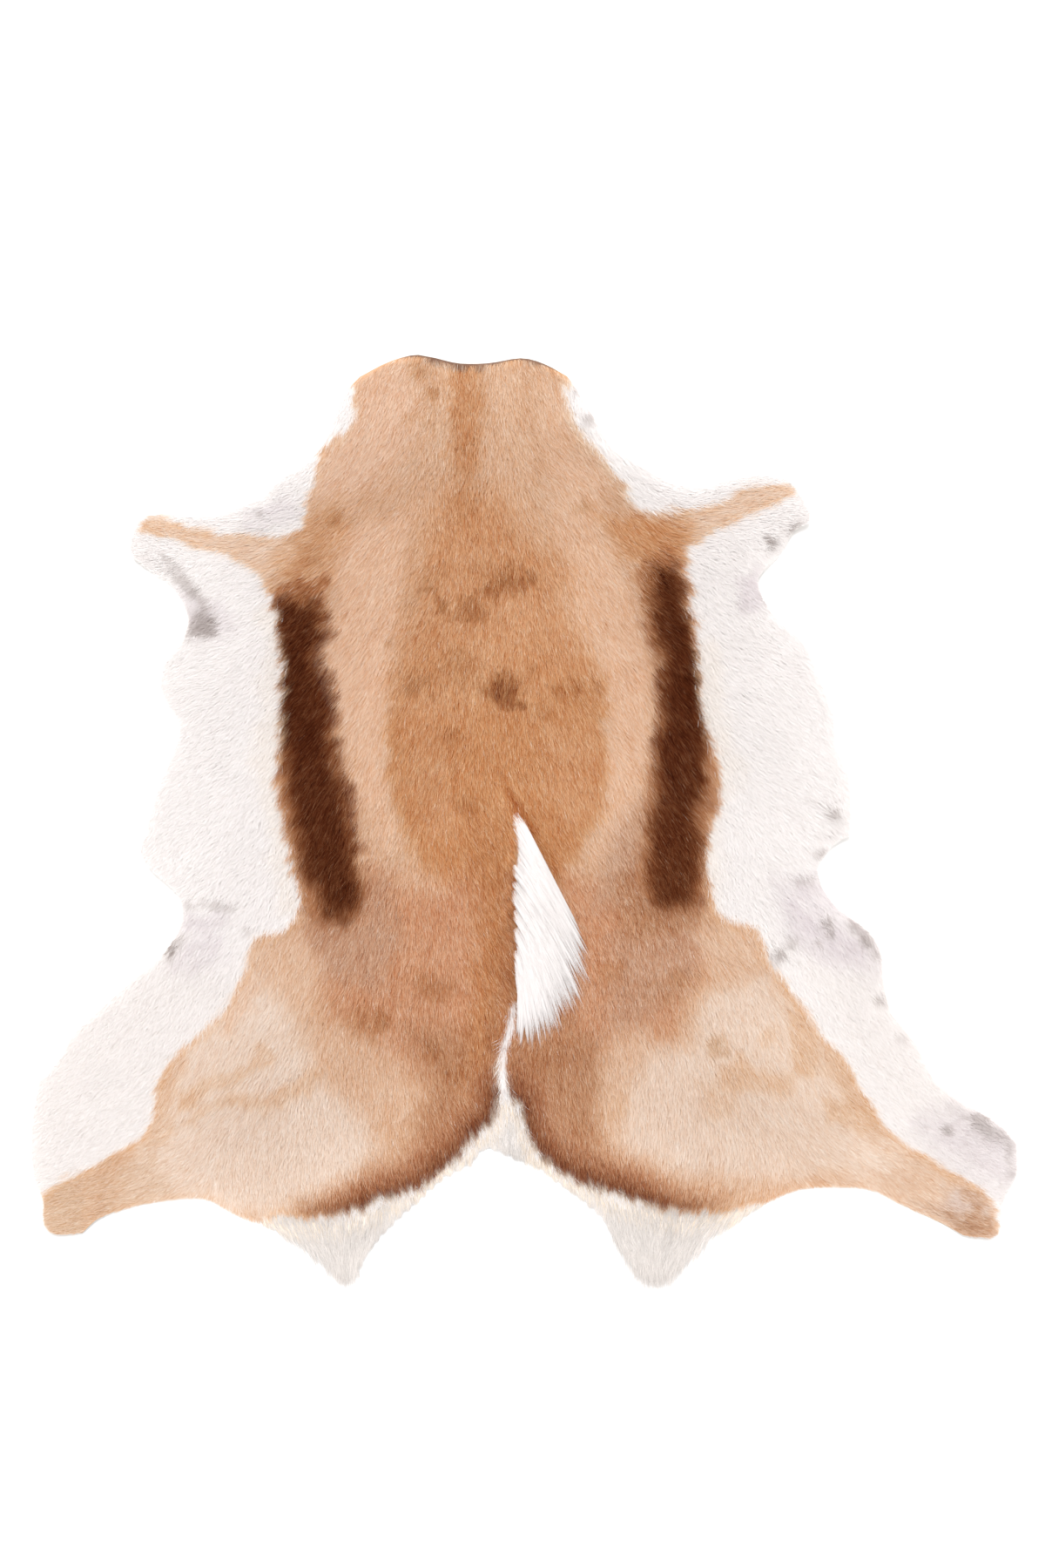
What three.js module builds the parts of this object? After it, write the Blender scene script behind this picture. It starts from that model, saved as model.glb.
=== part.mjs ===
// A gazelle hide: one whole pelt that lies flat, hair side up, with its neck towards +Y.
// Millimetres. +X is to the right seen from above and +Z is up. The origin is on the floor,
// under the middle of the pelt's box.
import * as THREE from 'three';
import { ConvexHull } from 'three/addons/math/ConvexHull.js';
import { ImprovedNoise } from 'three/addons/math/ImprovedNoise.js';

// Driving dimensions
const WIDTH = 995; // from hind foot to hind foot
const LENGTH = 949; // from the neck cut to the longest rump hair
const RIM_THICKNESS = 2.4; // bare skin and the last flat hairs
const BACK_THICKNESS = 7; // skin and pile along the back
const BELLY_THICKNESS = 5;
const LEG_THICKNESS = 3.8;

// Where the pile changes from back to belly and from body to leg
const BELLY_STARTS = 230; // from the middle line
const BELLY_FULL = 330;
const MIDDLE_LINE = -30; // the spine's x
const LEG_STARTS = 370; // from the origin
const LEG_FULL = 520;
const SHOULDER = 20; // how far in from the rim the pile reaches its full height
const FRINGE_SHOULDER = 58; // the same where long hair hangs past the skin

// Unevenness of the whole surface, and of the long hair on the rump
const WAVES = [
  { name: 'skin', length: 120, height: 1.1 },
  { name: 'pile', length: 45, height: 0.5 },
];
const RUMP_LOCKS = { width: 15, length: 110, height: 2 };

// Spacing of the mesh's points
const RIM_STEP = 9;
const LOCK_PITCH = 11;
const RIM_CLEARANCE = 4.7; // over half of RIM_STEP, so that each step of the rim is a triangle's side
const SHOULDER_INSET = 7;
const TOP_PITCH = 18.5;
const RUMP_PITCH = 8;
const UNDERSIDE_PITCH = 40;
const LEAST_GAP = 0.62; // of the pitch, between a lattice point and any other
const SHOULDER_GAP = 0.75; // the same for points on the shoulder, of its inset
const BAND_GAP = 0.42; // and for points on a band, of its half width
const STIR = 0.14; // of the pitch, how far lattice points are moved off their rows
const LOCK_SPREAD = 0.45; // how much deeper or shallower than its neighbours a lock may be
const GRAIN = { x: 7.3, y: 3.2 }; // turns places into noise that differs from point to point

// The rim seen from above, clockwise from the left foreleg's tip. Each row is one stretch with
// the turning points that it runs through, and how deep its hair locks are.
const RIM = [
  {
    stretch: 'left foreleg, front',
    locks: 0,
    through: [[-389, 306], [-375, 312], [-340, 313], [-309, 312], [-283, 322], [-265, 327]],
  },
  {
    stretch: 'left side of the neck',
    locks: 0,
    through: [[-248, 347], [-221, 364], [-199, 392], [-188, 423], [-182, 436], [-167, 452]],
  },
  {
    stretch: 'left corner of the neck',
    locks: 0,
    through: [[-142, 465], [-117, 473], [-107, 474]],
  },
  {
    stretch: 'neck cut',
    locks: 0,
    through: [[-89, 471], [-67, 466], [-37, 466], [-1, 471], [21, 465], [44, 452]],
  },
  {
    stretch: 'right side of the neck',
    locks: 0,
    through: [[52, 442], [59, 429], [73, 407], [85, 385], [92, 378], [113, 367], [132, 352], [153, 342]],
  },
  {
    stretch: 'right foreleg, front',
    locks: 0,
    through: [[179, 340], [203, 347], [245, 352], [267, 347], [279, 331], [289, 312]],
  },
  {
    stretch: 'right foreleg, back',
    locks: 0,
    through: [[288, 303], [273, 296], [259, 271], [242, 255], [236, 247], [240, 229]],
  },
  {
    stretch: 'right flank',
    locks: 0,
    through: [[254, 209], [280, 186], [291, 166], [300, 143], [313, 111], [315, 79], [325, 58], [330, 32],
      [330, 1], [329, -12]],
  },
  {
    stretch: 'right groin',
    locks: 0,
    through: [[313, -21], [301, -37], [296, -47], [302, -65], [315, -83], [342, -103], [358, -122],
      [363, -157]],
  },
  {
    stretch: 'right hind leg, front',
    locks: 0,
    through: [[371, -190], [395, -220], [412, -254], [432, -274], [456, -288], [483, -306], [497, -323]],
  },
  {
    stretch: 'right hind foot',
    locks: 0,
    through: [[497, -351], [485, -379], [481, -408], [476, -417], [443, -416]],
  },
  {
    stretch: 'right hind leg, back',
    locks: 0,
    through: [[421, -404], [381, -385], [351, -370], [320, -367], [280, -369], [254, -379], [224, -397]],
  },
  {
    stretch: 'right rump hair, outer side',
    locks: 5,
    through: [[208, -413], [183, -441], [164, -458], [146, -473]],
  },
  {
    stretch: 'right rump hair, tips',
    locks: 4,
    through: [[132, -475], [120, -473], [106, -463]],
  },
  {
    stretch: 'right rump hair, inner side',
    locks: 5,
    through: [[94, -433], [82, -404], [64, -387], [29, -361], [3, -347]],
  },
  {
    stretch: 'notch under the tail',
    locks: 3,
    through: [[-17, -337], [-35, -329], [-44, -331], [-54, -348]],
  },
  {
    stretch: 'left rump hair, inner side',
    locks: 5,
    through: [[-81, -360], [-103, -380], [-129, -402], [-147, -421], [-161, -442], [-170, -461]],
  },
  {
    stretch: 'left rump hair, tips',
    locks: 4,
    through: [[-177, -473], [-188, -470]],
  },
  {
    stretch: 'left rump hair, outer side',
    locks: 5,
    through: [[-211, -451], [-236, -428], [-252, -411]],
  },
  {
    stretch: 'left hind leg, back',
    locks: 0,
    through: [[-274, -403], [-299, -391], [-323, -379], [-371, -382], [-402, -389], [-431, -400],
      [-446, -414]],
  },
  {
    stretch: 'left hind foot',
    locks: 0,
    through: [[-475, -414], [-485, -404], [-486, -378], [-496, -356], [-498, -303], [-491, -259]],
  },
  {
    stretch: 'left hind leg, front',
    locks: 0,
    through: [[-471, -239], [-456, -212], [-431, -188], [-402, -162], [-378, -141], [-362, -128]],
  },
  {
    stretch: 'left groin',
    locks: 0,
    through: [[-346, -100], [-348, -76], [-359, -63], [-378, -46], [-389, -28]],
  },
  {
    stretch: 'left flank',
    locks: 0,
    through: [[-382, -4], [-371, 33], [-356, 70], [-348, 98], [-362, 123], [-368, 142], [-362, 166],
      [-346, 181]],
  },
  {
    stretch: 'left foreleg, back',
    locks: 0,
    through: [[-339, 206], [-353, 236], [-380, 256], [-397, 272], [-397, 287]],
  },
];

// Where the edge curls off the floor: a round patch about x, y, lifted most in its middle.
const CURLS = [
  { name: 'left foreleg tip', x: -402, y: 284, reach: 52, lift: 8 },
  { name: 'left armpit', x: -345, y: 200, reach: 42, lift: 5 },
  { name: 'left groin', x: -372, y: -52, reach: 44, lift: 5 },
  { name: 'left hind foot', x: -494, y: -395, reach: 72, lift: 8 },
  { name: 'left shin', x: -428, y: -408, reach: 34, lift: 4 },
  { name: 'neck, left corner', x: -118, y: 480, reach: 50, lift: 5 },
  { name: 'neck, right corner', x: 52, y: 456, reach: 44, lift: 5 },
  { name: 'right foreleg tip', x: 292, y: 312, reach: 55, lift: 10 },
  { name: 'right armpit', x: 236, y: 246, reach: 36, lift: 4 },
  { name: 'right flank fold', x: 338, y: -8, reach: 50, lift: 9 },
  { name: 'right groin', x: 360, y: -112, reach: 56, lift: 6 },
  { name: 'right shin', x: 446, y: -276, reach: 44, lift: 5 },
  { name: 'right hind foot', x: 500, y: -330, reach: 76, lift: 11 },
  { name: 'right heel', x: 462, y: -424, reach: 50, lift: 6 },
];

// The pelt lies flat on the floor inside these corners. Outside them its edge stands off the
// floor by under a millimetre, as the edge of a tanned skin does.
const FLAT_CORNERS = [
  { name: 'left foreleg', x: -350, y: 290 },
  { name: 'right foreleg', x: 240, y: 330 },
  { name: 'right thigh', x: 400, y: -330 },
  { name: 'left thigh', x: -430, y: -330 },
];
const EDGE_LIFT = 0.6;

// Raised and sunk bands of the pile, each along a line through the places listed.
const BANDS = [
  {
    name: 'left dark stripe',
    half: 44,
    rise: 2.6,
    line: [[-222, 226], [-228, 172], [-220, 93], [-213, 23], [-204, -21], [-194, -82]],
  },
  {
    name: 'right dark stripe',
    half: 44,
    rise: 2.6,
    line: [[141, 256], [147, 217], [154, 164], [161, 93], [162, 49], [154, -4], [151, -80]],
  },
  {
    name: 'parting down the neck',
    half: 30,
    rise: 1,
    line: [[-50, 450], [-56, 400], [-60, 340]],
  },
  {
    name: 'left haunch, hanging hair',
    half: 20,
    rise: 2.4,
    line: [[-30, -225], [-36, -281], [-62, -320], [-107, -360], [-160, -382], [-221, -389]],
  },
  {
    name: 'right haunch, hanging hair',
    half: 20,
    rise: 2.4,
    line: [[-8, -232], [4, -292], [43, -337], [87, -360], [148, -381], [201, -387]],
  },
  {
    name: 'fold that the crest opens from',
    half: 8,
    rise: -3.4,
    line: [[-13, -10], [-17, -73], [-15, -134], [-21, -190], [-26, -224], [-22, -262]],
  },
  {
    name: 'crease above the crest',
    half: 8,
    rise: -1.6,
    line: [[-20, 42], [-14, 24], [-8, 12]],
  },
  {
    name: 'left haunch swell',
    half: 85,
    rise: 1.8,
    line: [[-120, -190], [-210, -270], [-290, -310]],
  },
  {
    name: 'right haunch swell',
    half: 85,
    rise: 1.8,
    line: [[70, -220], [160, -270], [260, -310]],
  },
  {
    name: 'left foreleg, rolled edge',
    half: 8,
    rise: 2.6,
    line: [[-388, 268], [-368, 258], [-347, 233]],
  },
  {
    name: 'right foreleg, rolled edge',
    half: 8,
    rise: 2.8,
    line: [[253, 281], [264, 296], [279, 306]],
  },
  {
    name: 'right flank, upper fold',
    half: 7,
    rise: 3.4,
    line: [[296, 22], [309, 14], [321, 3]],
  },
  {
    name: 'right flank, lower fold',
    half: 6,
    rise: 2.8,
    line: [[304, -12], [320, -14]],
  },
  {
    name: 'left hind foot, rolled edge',
    half: 7,
    rise: 2.4,
    line: [[-424, -386], [-444, -402]],
  },
  {
    name: 'right hind foot, rolled edge',
    half: 8,
    rise: 2.8,
    line: [[395, -382], [425, -396], [455, -408]],
  },
  {
    name: 'right shin, rolled edge',
    half: 7,
    rise: 2.4,
    line: [[438, -286], [462, -300], [482, -318]],
  },
];
const NARROW_BAND = 21; // bands with a smaller half width get points of their own
const BAND_COLUMNS = [-1, -0.5, 0, 0.5, 1];

// The crest: a fan of long white hair over the rump. Turns are in degrees from straight down
// the back, and the reach of its locks is measured from where the fan opens.
const CREST = {
  x: -8,
  y: 14,
  firstTurn: -3.5,
  lastTurn: 27.5,
  locks: 7,
  locksStart: 60,
  locksFull: 130,
  rise: 9,
  lockDepth: 0.2, // of the rise
  edgeRise: 0.55,
  tipRise: 0.28,
  risenAt: 0.3, // of the reach
  thinsFrom: 0.45,
  rowStep: 8,
  leastGap: 3.8,
  foot: 4, // how far outside the fan its edge meets the coat
  reach: [
    { turn: -3.5, length: 240 },
    { turn: 3, length: 236 },
    { turn: 8, length: 234 },
    { turn: 12.5, length: 220 },
    { turn: 18, length: 211 },
    { turn: 23, length: 194 },
    { turn: 27.5, length: 158 },
  ],
};

const noise = new ImprovedNoise();

function smooth(value, low, high) {
  return THREE.MathUtils.smoothstep(value, low, high);
}

// A hump that is 1 in its middle and runs out flat at distance 1.
function hump(distance) {
  return distance < 1 ? (1 - distance * distance) ** 2 : 0;
}

function place(x, y) {
  return new THREE.Vector3(x, y, 0);
}

// A number from -1 to 1 that is always the same for the same place.
function uneven(a, b) {
  return THREE.MathUtils.clamp(2 * noise.noise(a * GRAIN.x, b * GRAIN.y, 0.5), -1, 1);
}

// Rim

function lockedPoints(points, depth) {
  return points.map((point, i) => {
    if (i % 2 === 0 || i === points.length - 1) return point;
    const along = points[i + 1].clone().sub(points[i - 1]).normalize();
    const inward = new THREE.Vector3(along.y, -along.x, 0);
    return point.clone().addScaledVector(inward, depth * (1 + LOCK_SPREAD * uneven(point.x, point.y)));
  });
}

function stretchPoints(row, start) {
  const curve = new THREE.CatmullRomCurve3([start, ...row.through.map(([x, y]) => place(x, y))]);
  const step = row.locks > 0 ? LOCK_PITCH / 2 : RIM_STEP;
  const count = Math.max(2, 2 * Math.round(curve.getLength() / step / 2));
  const points = curve.getSpacedPoints(count);
  return lockedPoints(points, row.locks).slice(1);
}

function rimPoints() {
  let start = place(...RIM.at(-1).through.at(-1));
  const rim = [];
  for (const row of RIM) {
    rim.push(...stretchPoints(row, start));
    start = rim.at(-1);
  }
  const box = new THREE.Box3().setFromPoints(rim);
  const middle = box.getCenter(new THREE.Vector3());
  const size = box.getSize(new THREE.Vector3());
  const fit = new THREE.Vector3(WIDTH / size.x, LENGTH / size.y, 1);
  return rim.map((point) => point.clone().sub(middle).multiply(fit));
}

// Distances

function toSegment(point, a, b) {
  const nearest = new THREE.Line3(a, b).closestPointToPoint(point, true, new THREE.Vector3());
  return nearest.distanceTo(point);
}

function toLine(point, line) {
  let least = Infinity;
  for (let i = 1; i < line.length; i += 1) {
    least = Math.min(least, toSegment(point, line[i - 1], line[i]));
  }
  return least;
}

function inside(point, rim) {
  let within = false;
  for (let i = 0, j = rim.length - 1; i < rim.length; j = i, i += 1) {
    const crosses = rim[i].y > point.y !== rim[j].y > point.y;
    const share = (point.y - rim[i].y) / (rim[j].y - rim[i].y);
    if (crosses && point.x < rim[i].x + share * (rim[j].x - rim[i].x)) within = !within;
  }
  return within;
}

// Relief

const flatCorners = FLAT_CORNERS.map(({ x, y }) => place(x, y));
const bandLines = BANDS.map((band) => band.line.map(([x, y]) => place(x, y)));

function lift(point) {
  const flat = flatCorners.includes(point) || inside(point, flatCorners);
  let most = flat ? 0 : EDGE_LIFT;
  for (const curl of CURLS) {
    most = Math.max(most, curl.lift * hump(point.distanceTo(place(curl.x, curl.y)) / curl.reach));
  }
  return most;
}

function crestPlace(point) {
  const right = point.x - CREST.x;
  const down = CREST.y - point.y;
  return { turn: THREE.MathUtils.radToDeg(Math.atan2(right, down)), out: Math.hypot(right, down) };
}

function crestReach(turn) {
  const rows = CREST.reach;
  for (let i = 1; i < rows.length; i += 1) {
    if (turn <= rows[i].turn) {
      const share = (turn - rows[i - 1].turn) / (rows[i].turn - rows[i - 1].turn);
      return THREE.MathUtils.lerp(rows[i - 1].length, rows[i].length, share);
    }
  }
  return rows.at(-1).length;
}

// The fan's locks are ridges that open out of one point and thin towards their tips.
function crestRise(point) {
  const { turn, out } = crestPlace(point);
  if (turn < CREST.firstTurn || turn > CREST.lastTurn) return 0;
  const share = out / crestReach(turn);
  if (share > 1) return 0;
  const across = (turn - CREST.firstTurn) / (CREST.lastTurn - CREST.firstTurn);
  const lockDepth = CREST.lockDepth * smooth(out, CREST.locksStart, CREST.locksFull);
  const lock = 1 - lockDepth + lockDepth * Math.cos(2 * Math.PI * CREST.locks * across);
  const crown = THREE.MathUtils.lerp(CREST.edgeRise, 1, Math.sin(Math.PI * across));
  const thinning = THREE.MathUtils.lerp(1, CREST.tipRise, smooth(share, CREST.thinsFrom, 1));
  return CREST.rise * lock * crown * thinning * smooth(share, 0, CREST.risenAt);
}

function bandRise(point) {
  let rise = 0;
  BANDS.forEach((band, i) => {
    rise += band.rise * hump(toLine(point, bandLines[i]) / band.half);
  });
  return rise;
}

function waveRise(point) {
  let rise = 0;
  for (const wave of WAVES) {
    rise += wave.height * noise.noise(point.x / wave.length, point.y / wave.length, wave.length);
  }
  return rise;
}

// 1 where long white hair hangs past the skin, below the haunches, and 0 elsewhere.
function rumpShare(point) {
  return smooth(-point.y, 320, 400) * (1 - smooth(Math.abs(point.x - MIDDLE_LINE), 205, 250));
}

function rumpLockRise(point) {
  const wave = noise.noise(point.x / RUMP_LOCKS.width, point.y / RUMP_LOCKS.length, 0.5);
  return RUMP_LOCKS.height * wave * rumpShare(point);
}

function fullThickness(point) {
  const belly = smooth(Math.abs(point.x - MIDDLE_LINE), BELLY_STARTS, BELLY_FULL);
  const leg = smooth(point.length(), LEG_STARTS, LEG_FULL);
  const body = THREE.MathUtils.lerp(BACK_THICKNESS, BELLY_THICKNESS, belly);
  const coat = THREE.MathUtils.lerp(body, LEG_THICKNESS, leg);
  return coat + waveRise(point) + bandRise(point) + rumpLockRise(point) + crestRise(point);
}

// The pile thins towards the rim, and over a wider edge where long hair hangs past the skin.
function thickness(point, toRim) {
  const shoulder = THREE.MathUtils.lerp(SHOULDER, FRINGE_SHOULDER, rumpShare(point));
  const share = Math.min(1, toRim / shoulder);
  const rounded = Math.sqrt(1 - (1 - share) ** 2);
  return Math.max(RIM_THICKNESS, THREE.MathUtils.lerp(RIM_THICKNESS, fullThickness(point), rounded));
}

// Points between the rims

function latticePoints(pitch) {
  const rowStep = (pitch * Math.sqrt(3)) / 2;
  const points = [];
  for (let row = 0; row * rowStep < LENGTH; row += 1) {
    for (let column = 0; column * pitch < WIDTH; column += 1) {
      const x = (column + (row % 2) / 2) * pitch - WIDTH / 2;
      const y = row * rowStep - LENGTH / 2;
      points.push(place(x + pitch * STIR * uneven(x, y), y + pitch * STIR * uneven(y, x)));
    }
  }
  return points;
}

function shoulderPoints(rim) {
  const points = [];
  for (let i = 0; i < rim.length; i += 2) {
    const along = rim[(i + 1) % rim.length].clone().sub(rim.at(i - 1)).normalize();
    const inward = new THREE.Vector3(along.y, -along.x, 0);
    points.push(rim[i].clone().addScaledVector(inward, SHOULDER_INSET));
  }
  return points;
}

function bandPoints(band, line) {
  const curve = new THREE.CatmullRomCurve3(line);
  const rows = Math.max(2, Math.round(curve.getLength() / band.half));
  const points = [];
  for (let row = 0; row <= rows; row += 1) {
    const along = curve.getTangentAt(row / rows);
    const across = new THREE.Vector3(along.y, -along.x, 0);
    for (const column of BAND_COLUMNS) {
      points.push(curve.getPointAt(row / rows).addScaledVector(across, column * band.half));
    }
  }
  return points;
}

// A row of points down the fan at one turn, moved sideways, with a last one past the tip.
function crestColumn(turn, aside) {
  const angle = THREE.MathUtils.degToRad(turn);
  const along = new THREE.Vector3(Math.sin(angle), -Math.cos(angle), 0);
  const across = new THREE.Vector3(Math.cos(angle), Math.sin(angle), 0);
  const start = place(CREST.x, CREST.y).addScaledVector(across, aside);
  const reach = crestReach(turn) - 1;
  const rows = Math.round(reach / CREST.rowStep);
  const points = [];
  for (let row = 1; row <= rows; row += 1) {
    points.push(start.clone().addScaledVector(along, (reach * row) / rows));
  }
  points.push(start.clone().addScaledVector(along, reach + 1 + CREST.foot));
  return points;
}

// Points along each lock's crown, along the dips between the locks, and round the fan's foot.
function crestPoints() {
  const points = [...crestColumn(CREST.firstTurn, -CREST.foot), ...crestColumn(CREST.lastTurn, CREST.foot)];
  const columns = CREST.locks * 2;
  for (let column = 0; column <= columns; column += 1) {
    points.push(...crestColumn(THREE.MathUtils.lerp(CREST.firstTurn, CREST.lastTurn, column / columns), 0));
  }
  return points;
}

// Adds the points that lie inside the rim, clear of it and of the points already there.
function addClear(points, more, rim, gap) {
  const closedRim = [...rim, rim[0]];
  for (const point of more) {
    const clear = points.every((other) => other.distanceToSquared(point) > gap * gap);
    if (clear && inside(point, rim) && toLine(point, closedRim) > RIM_CLEARANCE) points.push(point);
  }
}

function topPoints(rim) {
  const points = [...rim];
  addClear(points, crestPoints(), rim, CREST.leastGap);
  BANDS.forEach((band, i) => {
    if (band.half < NARROW_BAND) addClear(points, bandPoints(band, bandLines[i]), rim, band.half * BAND_GAP);
  });
  addClear(points, shoulderPoints(rim), rim, SHOULDER_INSET * SHOULDER_GAP);
  const rump = latticePoints(RUMP_PITCH).filter((point) => rumpShare(point) > 0.5);
  addClear(points, rump, rim, RUMP_PITCH * LEAST_GAP);
  addClear(points, latticePoints(TOP_PITCH), rim, TOP_PITCH * LEAST_GAP);
  return points;
}

function undersidePoints(rim) {
  const points = [...rim];
  addClear(points, flatCorners, rim, RIM_CLEARANCE);
  for (const curl of CURLS) {
    const near = latticePoints(TOP_PITCH).filter((p) => p.distanceTo(place(curl.x, curl.y)) < curl.reach);
    addClear(points, near, rim, TOP_PITCH * LEAST_GAP);
  }
  addClear(points, latticePoints(UNDERSIDE_PITCH), rim, UNDERSIDE_PITCH * LEAST_GAP);
  return points;
}

// Triangles

// Delaunay triangles inside the rim: the lower faces of the hull of the points lifted to a bowl.
function triangles(points, rim) {
  const flat = points.map((point) => point.clone().divideScalar(WIDTH));
  const bowl = flat.map(({ x, y }) => new THREE.Vector3(x, y, x * x + y * y));
  const number = new Map(bowl.map((point, i) => [point, i]));
  const found = [];
  for (const face of new ConvexHull().setFromPoints(bowl).faces) {
    const corners = [0, 1, 2].map((side) => number.get(face.getEdge(side).head().point));
    const middle = place(0, 0);
    corners.forEach((corner) => middle.addScaledVector(points[corner], 1 / 3));
    if (face.normal.z < 0 && inside(middle, rim)) found.push(corners);
  }
  return found;
}

function peltGeometry() {
  const rim = rimPoints();
  const closedRim = [...rim, rim[0]];
  const top = topPoints(rim);
  const underside = undersidePoints(rim);
  const positions = [];
  for (const point of top) {
    positions.push(point.x, point.y, lift(point) + thickness(point, toLine(point, closedRim)));
  }
  for (const point of underside) {
    positions.push(point.x, point.y, lift(point));
  }
  const faces = [];
  for (const [a, b, c] of triangles(top, rim)) {
    faces.push(a, c, b);
  }
  for (const [a, b, c] of triangles(underside, rim)) {
    faces.push(a + top.length, b + top.length, c + top.length);
  }
  for (let i = 0; i < rim.length; i += 1) {
    const next = (i + 1) % rim.length;
    faces.push(i, next, next + top.length);
    faces.push(i, next + top.length, i + top.length);
  }
  const geometry = new THREE.BufferGeometry();
  geometry.setAttribute('position', new THREE.Float32BufferAttribute(positions, 3));
  geometry.setIndex(faces);
  geometry.computeVertexNormals();
  return geometry;
}

function pelt() {
  const coat = new THREE.MeshStandardMaterial({ color: 0xd2a679, roughness: 0.95, metalness: 0 });
  const mesh = new THREE.Mesh(peltGeometry(), coat);
  mesh.name = 'hide';
  return mesh;
}

const hide = new THREE.Group();
hide.add(pelt());

export default hide;
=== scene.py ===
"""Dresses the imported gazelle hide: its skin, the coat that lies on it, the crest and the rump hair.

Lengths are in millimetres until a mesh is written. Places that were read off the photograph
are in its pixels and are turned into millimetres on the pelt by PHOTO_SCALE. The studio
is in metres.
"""

import bpy
import numpy as np
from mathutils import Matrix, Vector
from mathutils.bvhtree import BVHTree
from mathutils.geometry import delaunay_2d_cdt


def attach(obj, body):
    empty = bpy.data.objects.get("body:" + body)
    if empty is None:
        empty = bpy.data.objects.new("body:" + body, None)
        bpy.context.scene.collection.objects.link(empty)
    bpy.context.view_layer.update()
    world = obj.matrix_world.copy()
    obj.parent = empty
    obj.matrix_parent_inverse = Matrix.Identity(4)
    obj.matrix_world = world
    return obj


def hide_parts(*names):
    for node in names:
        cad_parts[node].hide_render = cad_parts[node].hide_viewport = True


MM = 0.001
PHOTO_SCALE = 0.88  # millimetres of the pelt for each pixel of the photograph
PHOTO_ORIGIN = (601.5, 946.0)  # the pixel that lies over the frame's origin
SEED = 7

# The grid that heights, colours and the lie of the hair are kept on
PITCH = 1.5
HALF_X = 504.0
HALF_Y = 483.0

# Skin
SKIN_THICKNESS = 1.3
SKIN_PITCH = 5.2
SKIN_INSET = 1.2
SKIN_CLEAR = 2.6  # between the skin's edge and the first inner point
UNDERSIDE_NORMAL = -0.5

# Hair, in millimetres: length, width at the root and the spacing of the roots; then how much deeper the
# root is painted, as shade down in the coat, how much paler the tip, as painted light, and how far that
# differs from hair to hair
BACK_HAIR = {"length": 11.0, "width": 0.85, "spacing": 0.98, "root_shade_tip_light": (0.26, -0.18), "uneven": 0.22}
BELLY_HAIR = {"length": 14.0, "width": 1.15, "spacing": 1.22, "root_shade_tip_light": (0.10, -0.05), "uneven": 0.07}
STRIPE_HAIR = {"length": 17.0, "width": 0.85, "spacing": 0.92, "root_shade_tip_light": (0.14, -0.18), "uneven": 0.17}
PILE_MOST = 9.0  # the short hair stays under this, also where the crest rises above it
DARKER_HAIRS = 0.05  # the share of short hairs that stand out darker
DARKER_BY = 0.45
SKIN_SHADE = 0.25  # the skin under the hair is painted deeper than the hair, as the shade down in the coat
COAT_SPLIT = -100.0  # the front and the rear piece of the coat meet here, with about as many hairs each
BELLY_SPLIT = -20.0  # the white hair left of this is one piece, and that right of it another
ROOT_AT = 0.8  # the share of the skin's thickness that a root stands above the skin's underside
LEAST_PILE = 0.4
RISE = 0.7  # a short hair rises steeply at first where this is well under 1
HAIR_ROLL = 0.35  # radians by which the hairs are turned about their length
HAIR_TAPER = 0.55  # a long hair is narrower by this share where its pointed end begins
LEG_FROM, LEG_TO = 370, 520  # from the middle; the hair grows shorter over the legs
LEG_SHORTER = 0.35
PAST_RIM = 1.2  # how far a short hair may reach past the rim
CUT_ROUNDS = 6  # a hair that reaches further is cut back up to this many times
CUT_TO = 0.72
SHORT_SIZES = (0.7, 1.2)  # the lengths and the widths of short hairs, as shares of the table's
SHORT_RISE = (0.72, 1.0)  # the share of the pile's height that their tips rise to
ROOT_CLEAR = 0.3  # roots keep this far inside the skin's edge
SPREAD_RINGS = 16
HAIR_UV = 0.0006
SEEN_AT = 0.5  # how far along a short hair the part lies that gives it its colour
# Spans of two numbers are the least and the most, and sizes are shares of the length or the width
CREST_HAIR = {
    "count": 13000, "locks": 76, "width": 0.75, "stations": 6, "strays": 0.06,
    "reach": (0.74, 1.04), "off_lock": 0.016, "drawn_in": (0.75, 1.0), "stray_drawn_in": (-0.6, 0.4),
    "shorter": 0.6, "bow": (0.03, 0.006),
}
CREST_NOTCHES = {"count": 70, "depth": 9}  # where the roots draw back from the fold
RUMP_HAIR = {
    "count": 17000, "length": 42.0, "width": 0.65, "past_rim": 1.5, "turn": 0.12,
    "sizes": (0.55, 1.35), "rise": (0.35, 0.98), "stations": 4,
}
LONG_WIDTHS = (0.6, 1.2)
RUMP_X, RUMP_Y = (-270, 260), (-445, -250)  # roots of the rump hair are looked for in this box
RUMP_BATCH = 60000

# Waves in the lie of the hair and in the borders of its colours: how strong and large, and a seed
LIE_WAVES = [(0.12, 38, 21), (0.09, 13, 22), (0.12, 6, 23)]
BORDER_WAVES = [(0.5, 26, 31), (0.4, 9, 32)]
WANDER_MOST = 12  # how far the border of a patch wanders
LIE_REACH = 15.0  # about each place of LIE, the hair lies as the table says
LIE_FALL = 1.6  # how fast the hold of a place wanes beyond that

# The edge between the coloured coat and the white
STRIPE_FADE = 7
BY_STRIPE = (-22, -8)  # how far outside a stripe the edge begins to be its own, and is it fully
EDGE_TEETH = 3.0  # how far the hair's points run out of the edge
DARK_TEETH = 2.2  # and how much further at the stripes and the ring
GOLDEN_SHARE = 0.3  # how much gold there is in the last millimetres of the pale coat
GOLDEN_WIDE = 7

# How unevenly the hair is coloured
GRAIN = {"streaks": 0.12, "spikes": 0.06, "clouds": 0.05}
WHITE_GRAIN = 0.008

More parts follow.
